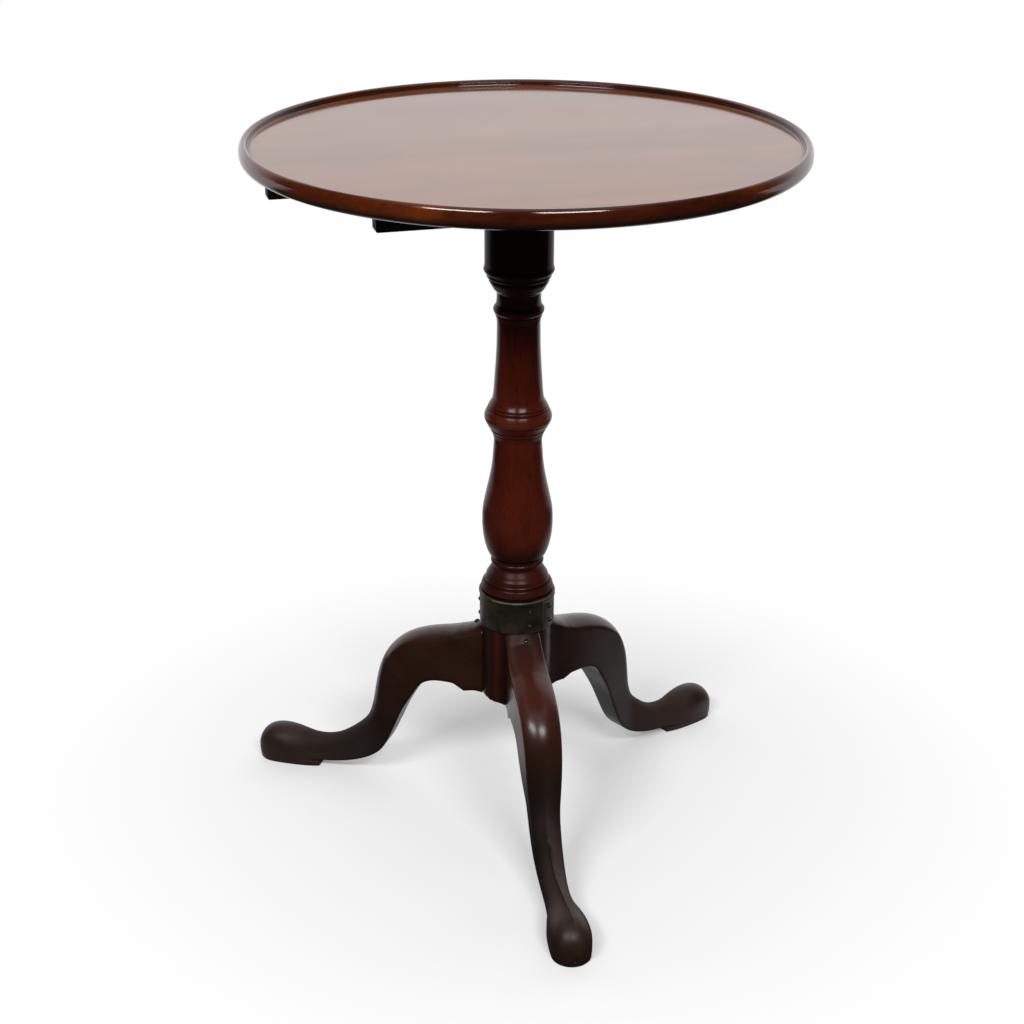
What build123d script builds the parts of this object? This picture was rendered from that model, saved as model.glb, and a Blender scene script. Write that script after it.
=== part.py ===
from build123d import *
import math
import os

# A round wine table, in millimetres: a dished tilting top on two bearers, a turned pillar
# and three cabriole legs dovetailed into it. Z is up. The floor is Z = 0, the bearers run
# along X and the top tilts about an axis along Y.

# Driving sizes
table_height = 710
board_diameter = 521
leg_reach = 296.8  # pillar axis to the tip of the longest foot
leg_turn = -4.3  # degrees that the front leg stands round from square to the bearers
board_offset_x = 5.3  # the top sits a little off the pillar's axis
board_offset_y = -1.5

# Clearances
running_clearance = 0.08  # radial, pivots and the bolt in its guides
glue_gap = 0.1  # glued wood joints, and metal let into wood
seat_gap = 0.3  # between pieces that move past each other
overrun = 5  # how far a cut runs past what it cuts

# Top board: flat dished middle inside a raised bead, step and cove
board_thickness = 18.5
dish_depth = 6
bead_crown_inset = 4.2
bead_width = 8
bead_drop = 2.4
step_drop = 0.8
step_width = 1.5
cove_width = 3
edge_waist_drop = 8.6
edge_foot_inset = 8.5

# Bearers, screwed under the board either side of the pivot block
bearer_thickness = 16
bearer_depth = 42.5
bearer_spacing = 134
long_bearer_length = 460
short_bearer_length = 311
bearer_corner_radius = 4

# Bearer screws
screw_head_radius = 4.2
screw_shank_radius = 2.2
screw_length = 26
screw_head_depth = 2.6
screw_slot_width = 0.9
screw_slot_depth = 1.1
screw_board_bite = 8
bearer_screw_shares = (-0.86, -0.6, 0.2, 0.86)

# Pivot block on the pillar and its two pins
pivot_drop = 20  # pivot axis below the underside of the board
pivot_offset = 56  # pivot axis from the pillar's axis, along -X
pivot_pin_radius = 7.5
pivot_pin_bite = 30
block_catch_end = 75  # far end of the block from the pillar's axis, along +X
block_chamfer = 5

# Pillar: a socket block for the legs, then the turned mouldings from the foot upwards
foot_clearance = 131  # underside of the pillar above the floor
socket_height = 122
socket_radius = 35.4
socket_foot_round = 3
base_height = 31
base_radius = 36.3
base_fillet_radius = 26.5
base_fillet_width = 2.6
vase_share = 0.607  # of the height that the vase and the shaft have between them
vase_radius = 35.1
knop_height = 42
knop_radius = 33
shaft_radius = 25
astragal_height = 10
astragal_radius = 24.4
neck_height = 11
neck_radius = 21.2
cap_height = 25
cap_radius = 33.5
drum_height = 63
drum_radius = 32.7
tenon_radius = 17
wedge_width = 3
wedge_tip_width = 1
wedge_depth = 28
base_torus_shares = (
    (0.975, 0.000),
    (0.992, 0.023),
    (1.000, 0.074),
    (0.985, 0.142),
    (0.959, 0.213),
    (0.923, 0.290),
)
base_ogee_shares = (
    (0.879, 0.352),
    (0.851, 0.432),
    (0.829, 0.503),
    (0.796, 0.574),
    (0.763, 0.645),
    (0.723, 0.710),
    (0.680, 0.790),
)
base_cove_shares = (
    (0.686, 0.858),
    (0.725, 0.916),
)
vase_shares = (
    (0.729, 0.009),
    (0.775, 0.035),
    (0.860, 0.085),
    (0.934, 0.154),
    (0.977, 0.223),
    (0.997, 0.291),
    (1.000, 0.338),
    (0.994, 0.392),
    (0.967, 0.458),
    (0.920, 0.523),
    (0.866, 0.592),
    (0.815, 0.654),
    (0.766, 0.723),
    (0.712, 0.823),
    (0.684, 0.931),
)
knop_neck_shares = (
    (0.720, 0.000),
    (0.748, 0.095),
    (0.800, 0.190),
)
knop_bead_shares = (
    (0.840, 0.262),
    (0.864, 0.290),
    (0.900, 0.348),
    (0.936, 0.398),
    (0.970, 0.448),
    (0.992, 0.498),
    (1.000, 0.548),
    (0.994, 0.595),
    (0.976, 0.643),
    (0.948, 0.690),
    (0.918, 0.733),
)
knop_flare_shares = (
    (0.896, 0.752),
    (0.900, 0.772),
    (0.888, 0.800),
    (0.861, 0.843),
    (0.824, 0.893),
    (0.791, 0.940),
    (0.765, 0.985),
)
shaft_shares = (
    (0.980, 0.035),
    (0.954, 0.118),
    (0.920, 0.259),
    (0.888, 0.400),
    (0.860, 0.541),
    (0.842, 0.682),
    (0.835, 0.824),
    (0.836, 0.906),
    (0.856, 0.953),
    (0.892, 0.988),
)
astragal_shares = (
    (0.943, 0.160),
    (0.984, 0.320),
    (1.000, 0.520),
    (0.984, 0.720),
    (0.943, 0.860),
)
neck_shares = (
    (1.022, 0.100),
    (1.000, 0.550),
    (1.004, 1.000),
)
cap_cove_shares = (
    (0.640, 0.030),
    (0.674, 0.110),
    (0.737, 0.200),
    (0.770, 0.280),
    (0.806, 0.360),
    (0.839, 0.440),
    (0.860, 0.520),
)
cap_ovolo_shares = (
    (0.868, 0.600),
    (0.919, 0.665),
    (0.934, 0.750),
    (0.968, 0.830),
)
cap_lip_shares = (
    (0.980, 0.860),
    (1.000, 0.900),
    (1.000, 0.985),
    (0.988, 1.030),
)

# Legs: sections from the shoulder to the toe, each as the run and rise of its top, the run
# and rise of its underside, its width and the crown of its top
leg_rise = 213  # top of a leg where it meets the pillar, above the floor
leg_turn_shares = (0, 0.3347, 0.6675)  # of a full turn, front, right and left
leg_reach_shares = (0.9862, 0.9794, 1)
leg_width = 40
leg_station_shares = (
    (0.102, 1.000, 0.102, 0.587, 0.875, 0.125),
    (0.140, 0.972, 0.140, 0.587, 0.887, 0.138),
    (0.198, 0.929, 0.191, 0.587, 0.950, 0.163),
    (0.273, 0.898, 0.253, 0.596, 0.988, 0.175),
    (0.355, 0.866, 0.307, 0.596, 0.988, 0.175),
    (0.424, 0.815, 0.342, 0.582, 0.968, 0.175),
    (0.477, 0.735, 0.360, 0.554, 0.950, 0.188),
    (0.509, 0.634, 0.381, 0.507, 0.920, 0.200),
    (0.534, 0.460, 0.419, 0.412, 0.825, 0.212),
    (0.546, 0.390, 0.434, 0.365, 0.762, 0.212),
    (0.564, 0.331, 0.453, 0.303, 0.720, 0.212),
    (0.590, 0.287, 0.474, 0.238, 0.688, 0.212),
    (0.621, 0.249, 0.502, 0.173, 0.650, 0.212),
    (0.680, 0.193, 0.588, 0.090, 0.600, 0.212),
    (0.748, 0.166, 0.702, 0.045, 0.570, 0.225),
    (0.786, 0.165, 0.765, 0.033, 0.650, 0.300),
    (0.823, 0.171, 0.820, 0.021, 0.850, 0.400),
    (0.868, 0.181, 0.868, 0.019, 0.975, 0.475),
    (0.916, 0.182, 0.916, 0.019, 1.010, 0.500),
    (0.957, 0.166, 0.953, 0.019, 0.938, 0.450),
    (0.983, 0.135, 0.978, 0.019, 0.740, 0.350),
    (0.994, 0.104, 0.990, 0.020, 0.500, 0.240),
    (0.999, 0.074, 0.996, 0.022, 0.300, 0.140),
)
leg_lip_shares = (
    (0.102, 0.615),
    (0.137, 0.616),
    (0.157, 0.610),
    (0.174, 0.604),
)
leg_scroll_shares = (
    (0.174, 0.604),
    (0.194, 0.624),
    (0.217, 0.643),
    (0.244, 0.646),
    (0.278, 0.643),
    (0.312, 0.629),
    (0.333, 0.609),
    (0.355, 0.568),
    (0.378, 0.512),
)
scroll_waste_share = 0.45
sole_thickness = 6
sole_side_shares = (
    (0.752, 0.285),
    (0.772, 0.335),
    (0.805, 0.398),
    (0.850, 0.448),
    (0.895, 0.474),
)
sole_toe_share = 0.932
sole_toe_width_share = 0.96

# Sliding dovetail on the shoulder of each leg
tail_neck_width = 15
tail_back_width = 21
tail_depth = 16
tail_lap = 6  # how far the tail runs on into the leg
tail_stop_drop = 28  # top of the tail below the top of the leg

# Iron collar wrapped round the pillar above the legs, lapped and nailed
collar_thickness = 2.2
collar_height = 35
collar_foot = 216
collar_lip = 0.8
collar_lip_height = 4
collar_rim = 1.2
collar_lap_thickness = 0.8
collar_lap_turn = 31.3  # degrees from the front leg round to the edge of the lap
collar_lap_span = 34
nail_head_radius = 2.5
nail_head_height = 2.1
nail_shank_radius = 1
nail_length = 12
nail_foot_shares = (0.229, 0.2, 0.086, 0.229)  # of the collar's height, column by column
nail_row_spacing = 15.5
collar_nail_turn = 9.3  # degrees round from the middle of each leg
lap_nail_turn = 48.3
leg_nail_turn = 4
leg_nail_run = 43.5
leg_nail_rise = 205.2
leg_nail_lean = 35
leg_nail_length = 22

# Sliding bolt that holds the top down on the block
bolt_radius = 3
bolt_travel = 12
bolt_drop = 9.5  # bolt axis below the underside of the board
bolt_tip_gap = 3.5
bolt_tip_chamfer = 0.8
bolt_plate_thickness = 2
bolt_plate_width = 26
bolt_plate_margin = 10
bolt_plate_gap = 2
guide_width = 11
guide_length = 7
knob_stem_radius = 1.8
knob_stem_length = 9
knob_radius = 4.5
keeper_thickness = 2
keeper_width = 34
keeper_height = 18
keeper_bolt_gap = 0.4
small_screw_head_radius = 2.6
small_screw_shank_radius = 1.3
small_screw_length = 10
small_screw_head_depth = 1.2
small_screw_inset = 5

# Places worked out from the sizes
board_radius = board_diameter / 2
board_foot = table_height - board_thickness
toe_y = leg_reach * leg_reach_shares[0] * math.cos(math.radians(leg_turn))
pillar_x = -board_offset_x
pillar_y = (toe_y - board_radius - board_offset_y) / 2
board_y = pillar_y + board_offset_y
leg_angles = [leg_turn - 90 + 360 * share for share in leg_turn_shares]
pivot_x = pillar_x - pivot_offset
pivot_z = board_foot - pivot_drop
bearer_foot = board_foot - bearer_depth
bearer_shift = bearer_spacing / 2
bearer_half = bearer_thickness / 2
block_half_width = bearer_shift - bearer_half - seat_gap
block_top = board_foot - seat_gap
block_nose_radius = pivot_drop - seat_gap
block_end_x = pillar_x + block_catch_end
drum_top = bearer_foot
tenon_length = block_top - drum_top
cap_foot = drum_top - drum_height - cap_height
neck_foot = cap_foot - neck_height
astragal_foot = neck_foot - astragal_height
base_foot = foot_clearance + socket_height
vase_foot = base_foot + base_height
vase_height = (astragal_foot - knop_height - vase_foot) * vase_share
knop_foot = vase_foot + vase_height
shaft_foot = knop_foot + knop_height
shaft_height = astragal_foot - shaft_foot
collar_inner_radius = socket_radius + glue_gap
collar_radius = collar_inner_radius + collar_thickness
collar_top = collar_foot + collar_height
lap_radius = collar_radius + collar_lap_thickness
bolt_z = board_foot - bolt_drop
bolt_tip_x = block_end_x + keeper_thickness + bolt_tip_gap
plate_start_x = bolt_tip_x + bolt_plate_gap
guide_gap = bolt_travel + knob_stem_radius * 2 + seat_gap * 2
first_guide_x = plate_start_x + bolt_plate_margin
second_guide_x = first_guide_x + guide_length + guide_gap
plate_end_x = second_guide_x + guide_length + bolt_plate_margin
bolt_tail_x = second_guide_x + guide_length + bolt_travel + seat_gap
knob_x = second_guide_x - knob_stem_radius - seat_gap
plate_foot = board_foot - bolt_plate_thickness

floor_plane = Plane(origin=(pillar_x, pillar_y, 0))
pillar_plane = Plane(origin=(pillar_x, pillar_y, 0), x_dir=(1, 0, 0), z_dir=(0, -1, 0))
pillar_axis = Axis((pillar_x, pillar_y, 0), (0, 0, 1))
board_plane = Plane(origin=(0, board_y, board_foot), x_dir=(1, 0, 0), z_dir=(0, -1, 0))

os.makedirs("parts", exist_ok=True)


def at_angle(degrees, run, height):
    """A point at a height and a run from the pillar's axis, in the direction of an angle."""
    turn = math.radians(degrees)
    return Vector(pillar_x + run * math.cos(turn), pillar_y + run * math.sin(turn), height)


def leg_plane(degrees, run=0, height=0, lean=0):
    """The upright plane through the pillar's axis in one direction: X runs out, Y runs up.

    With a lean, the plane is turned in itself, so that Y leans outwards by that angle.
    """
    turn = math.radians(degrees)
    tip = math.radians(lean)
    return Plane(
        origin=at_angle(degrees, run, height),
        x_dir=(math.cos(turn) * math.cos(tip), math.sin(turn) * math.cos(tip), -math.sin(tip)),
        z_dir=(math.sin(turn), -math.cos(turn), 0),
    )


def moulding(shares, radius, foot, height):
    """The points of one moulding, from shares of its radius and of its height."""
    return [(radius * out, foot + height * up) for out, up in shares]


# Table top: one board, turned with a dished middle and a moulded rim
with BuildPart() as table_top:
    with BuildSketch(board_plane) as board_profile:
        with BuildLine() as board_outline:
            dish_height = board_thickness - dish_depth
            bead_foot = board_thickness - bead_drop
            step_foot = bead_foot - step_drop
            bead_inner = board_radius - bead_width
            cove_outer = bead_inner - step_width
            cove_inner = cove_outer - cove_width
            waist = board_thickness - edge_waist_drop
            underside = Line((0, 0), (board_radius - edge_foot_inset, 0))
            edge_foot = JernArc(
                start=underside @ 1,
                tangent=(1, 0),
                radius=edge_foot_inset,
                arc_size=90,
            )
            edge_side = Line(edge_foot @ 1, (board_radius, waist))
            edge_top = EllipticalCenterArc(
                center=(board_radius - bead_crown_inset, waist),
                x_radius=bead_crown_inset,
                y_radius=edge_waist_drop,
                start_angle=0,
                arc_size=90,
            )
            bead_inside = TangentArc(edge_top @ 1, (bead_inner, bead_foot), tangent=(-1, 0))
            step_side = Line(bead_inside @ 1, (bead_inner, step_foot))
            step_flat = Line(step_side @ 1, (cove_outer, step_foot))
            cove = ThreePointArc(
                step_flat @ 1,
                (
                    cove_outer - cove_width * (1 - math.sqrt(0.5)),
                    dish_height + (step_foot - dish_height) * (1 - math.sqrt(0.5)),
                ),
                (cove_inner, dish_height),
            )
            dish = Line(cove @ 1, (0, dish_height))
            Line(dish @ 1, (0, 0))
        make_face()
    revolve(axis=Axis((0, board_y, 0), (0, 0, 1)))
    # Pilot holes for the screws that come up through the bearers
    for length, side in ((long_bearer_length, 1), (short_bearer_length, -1)):
        for share in bearer_screw_shares:
            screw_spot = (length / 2 * share, pillar_y + bearer_shift * side, board_foot)
            with Locations(screw_spot):
                Cylinder(
                    screw_shank_radius + glue_gap,
                    screw_board_bite * 2 + glue_gap * 2,
                    mode=Mode.SUBTRACT,
                )
    # Pilot holes for the plate of the bolt
    for hole_x in (plate_start_x + small_screw_inset, plate_end_x - small_screw_inset):
        for side in (-1, 1):
            hole_y = pillar_y + side * (bolt_plate_width / 2 - small_screw_inset)
            with Locations((hole_x, hole_y, board_foot)):
                Cylinder(
                    small_screw_shank_radius + glue_gap,
                    (small_screw_length - bolt_plate_thickness + glue_gap) * 2,
                    mode=Mode.SUBTRACT,
                )
table_top.part.label = "table_top"
export_step(table_top.part, "parts/table_top.step")

# Bearers: the far one runs nearly right across the board, the near one is cut shorter
for name, length, side in (
    ("bearer_far", long_bearer_length, 1),
    ("bearer_near", short_bearer_length, -1),
):
    bearer_y = pillar_y + bearer_shift * side
    bearer_plane = Plane(
        origin=(0, bearer_y, bearer_foot + bearer_depth / 2),
        x_dir=(1, 0, 0),
        z_dir=(0, -1, 0),
    )
    with BuildPart() as bearer:
        with BuildSketch(bearer_plane) as bearer_side:
            Rectangle(length, bearer_depth)
            lower_corners = bearer_side.vertices().group_by(Axis.Z)[0]
            fillet(lower_corners, radius=bearer_corner_radius)
        extrude(amount=bearer_half, both=True)
        # Bore for the pivot pin
        with BuildSketch(bearer_plane) as pin_bore:
            with Locations((pivot_x, pivot_z - bearer_foot - bearer_depth / 2)):
                Circle(pivot_pin_radius + running_clearance)
        extrude(amount=bearer_half + overrun, both=True, mode=Mode.SUBTRACT)
        # Deep counterbores from below, so that short screws reach the board
        shank_run = screw_length - screw_board_bite
        for share in bearer_screw_shares:
            spot_plane = Plane(origin=(length / 2 * share, bearer_y, bearer_foot), z_dir=(0, 0, -1))
            with Locations(spot_plane):
                CounterBoreHole(
                    radius=screw_shank_radius + glue_gap,
                    counter_bore_radius=screw_head_radius + glue_gap,
                    counter_bore_depth=bearer_depth - shank_run + screw_head_depth,
                    depth=bearer_depth + overrun,
                )
    bearer.part.label = name
    export_step(bearer.part, "parts/" + name + ".step")

# Bearer screws: slotted, driven up from the foot of the counterbores
with BuildPart() as bearer_screws:
    for length, side in ((long_bearer_length, 1), (short_bearer_length, -1)):
        for share in bearer_screw_shares:
            head_foot = board_foot + screw_board_bite - screw_length
            screw_plane = Plane(
                origin=(length / 2 * share, pillar_y + bearer_shift * side, head_foot),
                x_dir=(1, 0, 0),
                z_dir=(0, -1, 0),
            )
            with BuildSketch(screw_plane) as screw_profile:
                with BuildLine() as screw_outline:
                    Polyline(
                        (0, 0),
                        (screw_head_radius, 0),
                        (screw_head_radius, screw_head_depth),
                        (screw_shank_radius, screw_head_depth),
                        (screw_shank_radius, screw_length - screw_shank_radius),
                        (0, screw_length),
                        close=True,
                    )
                make_face()
            revolve(axis=Axis(screw_plane.origin, (0, 0, 1)))
            with Locations(screw_plane.origin):
                Box(
                    screw_head_radius * 2 + overrun,
                    screw_slot_width,
                    screw_slot_depth * 2,
                    mode=Mode.SUBTRACT,
                )
bearer_screws.part.label = "bearer_screws"
export_step(bearer_screws.part, "parts/bearer_screws.step")

# Pivot block: its nose is rounded about the pivot, so that the board clears it as it tilts
with BuildPart() as pivot_block:
    with BuildSketch(pillar_plane) as block_side:
        with BuildLine() as block_outline:
            nose_foot = Line((-pivot_offset - block_nose_radius, drum_top), (block_catch_end, drum_top))
            catch_end = Line(nose_foot @ 1, (block_catch_end, block_top))
            crown = Line(catch_end @ 1, (-pivot_offset, block_top))
            nose = RadiusArc(
                crown @ 1,
                (-pivot_offset - block_nose_radius, pivot_z),
                -block_nose_radius,
            )
            Line(nose @ 1, nose_foot @ 0)
        make_face()
    extrude(amount=block_half_width, both=True)
    lower_edges = pivot_block.faces().sort_by(Axis.Z)[0].edges()
    chamfer(lower_edges, length=block_chamfer)
    # Hole for the pillar's tenon
    with BuildSketch(floor_plane.offset(drum_top)) as tenon_hole:
        Circle(tenon_radius + glue_gap)
    extrude(amount=tenon_length + overrun, mode=Mode.SUBTRACT)
    # Blind holes for the pivot pins, one from each side
    for side in (-1, 1):
        pin_plane = Plane(
            origin=(pivot_x, pillar_y + side * (block_half_width - pivot_pin_bite), pivot_z),
            z_dir=(0, side, 0),
        )
        with BuildSketch(pin_plane) as pin_hole:
            Circle(pivot_pin_radius)
        extrude(amount=pivot_pin_bite + overrun, mode=Mode.SUBTRACT)
    # Recess for the keeper's screws and the mortise that takes the bolt
    keeper_plane = Plane(origin=(block_end_x, pillar_y, bolt_z), x_dir=(0, 1, 0), z_dir=(1, 0, 0))
    bolt_throw = bolt_travel - bolt_tip_gap - keeper_thickness
    with BuildSketch(keeper_plane) as bolt_mortise:
        Circle(bolt_radius + keeper_bolt_gap)
    extrude(amount=-bolt_throw - seat_gap, mode=Mode.SUBTRACT)
    keeper_screw_shift = keeper_width / 2 - small_screw_inset
    with BuildSketch(keeper_plane) as keeper_pilots:
        with Locations((-keeper_screw_shift, 0), (keeper_screw_shift, 0)):
            Circle(small_screw_shank_radius + glue_gap)
    extrude(amount=keeper_thickness - small_screw_length - glue_gap, mode=Mode.SUBTRACT)
pivot_block.part.label = "pivot_block"
export_step(pivot_block.part, "parts/pivot_block.step")

# Pivot pins: glued into the block, the bearers turn on them
for name, side in (("pivot_pin_far", 1), ("pivot_pin_near", -1)):
    pin_length = pivot_pin_bite + seat_gap + bearer_thickness
    pin_plane = Plane(
        origin=(pivot_x, pillar_y + side * (block_half_width - pivot_pin_bite), pivot_z),
        z_dir=(0, side, 0),
    )
    with BuildPart() as pivot_pin:
        with BuildSketch(pin_plane) as pin_section:
            Circle(pivot_pin_radius)
        extrude(amount=pin_length)
    pivot_pin.part.label = name
    export_step(pivot_pin.part, "parts/" + name + ".step")

# Wedge across the top of the tenon
wedge_points = (
    (-wedge_tip_width / 2, block_top - wedge_depth),
    (wedge_tip_width / 2, block_top - wedge_depth),
    (wedge_width / 2, block_top),
    (-wedge_width / 2, block_top),
)
with BuildPart() as tenon_wedge:
    with BuildSketch(pillar_plane) as wedge_face:
        with BuildLine() as wedge_outline:
            Polyline(*wedge_points, close=True)
        make_face()
    extrude(amount=tenon_radius, both=True)
    with BuildSketch(floor_plane.offset(drum_top)) as wedge_trim:
        Circle(tenon_radius)
    extrude(amount=tenon_length + overrun, mode=Mode.INTERSECT)
tenon_wedge.part.label = "tenon_wedge"
export_step(tenon_wedge.part, "parts/tenon_wedge.step")


# Where the nails go: two in each column of the collar, one in the shoulder of each leg
collar_nail_columns = [(angle + collar_nail_turn, collar_radius) for angle in leg_angles]
collar_nail_columns.append((leg_angles[0] + lap_nail_turn, lap_radius))
collar_nail_planes = [
    leg_plane(degrees, run, collar_foot + collar_height * foot_share + row, 90)
    for (degrees, run), foot_share in zip(collar_nail_columns, nail_foot_shares)
    for row in (0, nail_row_spacing)
]
leg_nail_planes = [
    leg_plane(angle + leg_nail_turn, leg_nail_run, leg_nail_rise, leg_nail_lean)
    for angle in leg_angles
]
nail_places = [(place, nail_length) for place in collar_nail_planes]
nail_places += [(place, leg_nail_length) for place in leg_nail_planes]


def tail_points(gap):
    """The plan of a leg's dovetail, with room all round it for the socket."""
    neck_run = math.sqrt(socket_radius**2 - (tail_neck_width / 2) ** 2)
    back_run = neck_run - tail_depth - gap
    return (
        (back_run, tail_back_width / 2 + gap),
        (neck_run, tail_neck_width / 2 + gap),
        (neck_run + tail_lap, tail_neck_width / 2 + gap),
        (neck_run + tail_lap, -tail_neck_width / 2 - gap),
        (neck_run, -tail_neck_width / 2 - gap),
        (back_run, -tail_back_width / 2 - gap),
    )


# Pillar: turned in one piece with its tenon, with three sockets open at the foot
tail_top = leg_rise - tail_stop_drop
with BuildPart() as pillar:
    with BuildSketch(pillar_plane) as pillar_profile:
        with BuildLine() as pillar_outline:
            torus_points = moulding(base_torus_shares, base_radius, base_foot, base_height)
            ogee_points = moulding(base_ogee_shares, base_radius, base_foot, base_height)
            cove_points = moulding(base_cove_shares, base_radius, base_foot, base_height)
            vase_points = moulding(vase_shares, vase_radius, vase_foot, vase_height)
            vase_points += moulding(knop_neck_shares, knop_radius, knop_foot, knop_height)
            bead_points = moulding(knop_bead_shares, knop_radius, knop_foot, knop_height)
            shaft_points = moulding(knop_flare_shares, knop_radius, knop_foot, knop_height)
            shaft_points += moulding(shaft_shares, shaft_radius, shaft_foot, shaft_height)
            astragal_points = moulding(
                astragal_shares, astragal_radius, astragal_foot, astragal_height
            )
            neck_points = moulding(neck_shares, neck_radius, neck_foot, neck_height)
            cap_cove_points = moulding(cap_cove_shares, cap_radius, cap_foot, cap_height)
            ovolo_points = moulding(cap_ovolo_shares, cap_radius, cap_foot, cap_height)
            lip_points = moulding(cap_lip_shares, cap_radius, cap_foot, cap_height)
            foot_line = Line((0, foot_clearance), (socket_radius - socket_foot_round, foot_clearance))
            foot_round = JernArc(
                start=foot_line @ 1,
                tangent=(1, 0),
                radius=socket_foot_round,
                arc_size=90,
            )
            socket_side = Line(foot_round @ 1, (socket_radius, base_foot))
            torus_seat = Line(socket_side @ 1, torus_points[0])
            torus = Spline(*torus_points)
            torus_step = Line(torus @ 1, ogee_points[0])
            ogee = Spline(*ogee_points)
            base_cove = Spline(ogee @ 1, *cove_points)
            fillet_foot = Line(base_cove @ 1, (base_fillet_radius, vase_foot - base_fillet_width))
            base_fillet = Line(fillet_foot @ 1, (base_fillet_radius, vase_foot))
            vase_seat = Line(base_fillet @ 1, vase_points[0])
            vase = Spline(*vase_points)
            knop_foot_fillet = Line(vase @ 1, bead_points[0])
            knop_bead = Spline(*bead_points)
            knop_groove = Line(knop_bead @ 1, shaft_points[0])
            shaft = Spline(*shaft_points)
            astragal_seat = Line(shaft @ 1, astragal_points[0])
            astragal = Spline(*astragal_points)
            neck_seat = Line(astragal @ 1, neck_points[0])
            neck = Spline(*neck_points)
            cap_seat = Line(neck @ 1, cap_cove_points[0])
            cap_cove = Spline(*cap_cove_points)
            ovolo_seat = Line(cap_cove @ 1, ovolo_points[0])
            ovolo = Spline(*ovolo_points)
            lip_seat = Line(ovolo @ 1, lip_points[0])
            lip = Spline(*lip_points)
            drum_side = Polyline(
                lip @ 1,
                (drum_radius, cap_foot + cap_height + drum_height / 2),
                (drum_radius, drum_top),
                (tenon_radius, drum_top),
                (tenon_radius, block_top),
                (0, block_top),
            )
            Line(drum_side @ 1, (0, foot_clearance))
        make_face()
    revolve(axis=pillar_axis)
    # Sockets for the dovetails
    for degrees in leg_angles:
        socket_plane = Plane(
            origin=(pillar_x, pillar_y, foot_clearance - overrun),
            x_dir=(math.cos(math.radians(degrees)), math.sin(math.radians(degrees)), 0),
            z_dir=(0, 0, 1),
        )
        with BuildSketch(socket_plane) as socket_plan:
            with BuildLine() as socket_outline:
                Polyline(*tail_points(glue_gap), close=True)
            make_face()
        extrude(amount=tail_top + glue_gap - foot_clearance + overrun, mode=Mode.SUBTRACT)
    # Kerf in the tenon that the wedge spreads
    with BuildSketch(pillar_plane) as kerf_face:
        with BuildLine() as kerf_outline:
            Polyline(*wedge_points, close=True)
        make_face()
    extrude(amount=tenon_radius + overrun, both=True, mode=Mode.SUBTRACT)
    # Nail holes, for the collar and for the legs
    for nail_plane, length in nail_places:
        with Locations(Plane(origin=nail_plane.origin, z_dir=nail_plane.y_dir)):
            Cylinder(
                nail_shank_radius + glue_gap,
                (length + glue_gap) * 2,
                mode=Mode.SUBTRACT,
            )
pillar.part.label = "pillar"
export_step(pillar.part, "parts/pillar.step")

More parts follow.
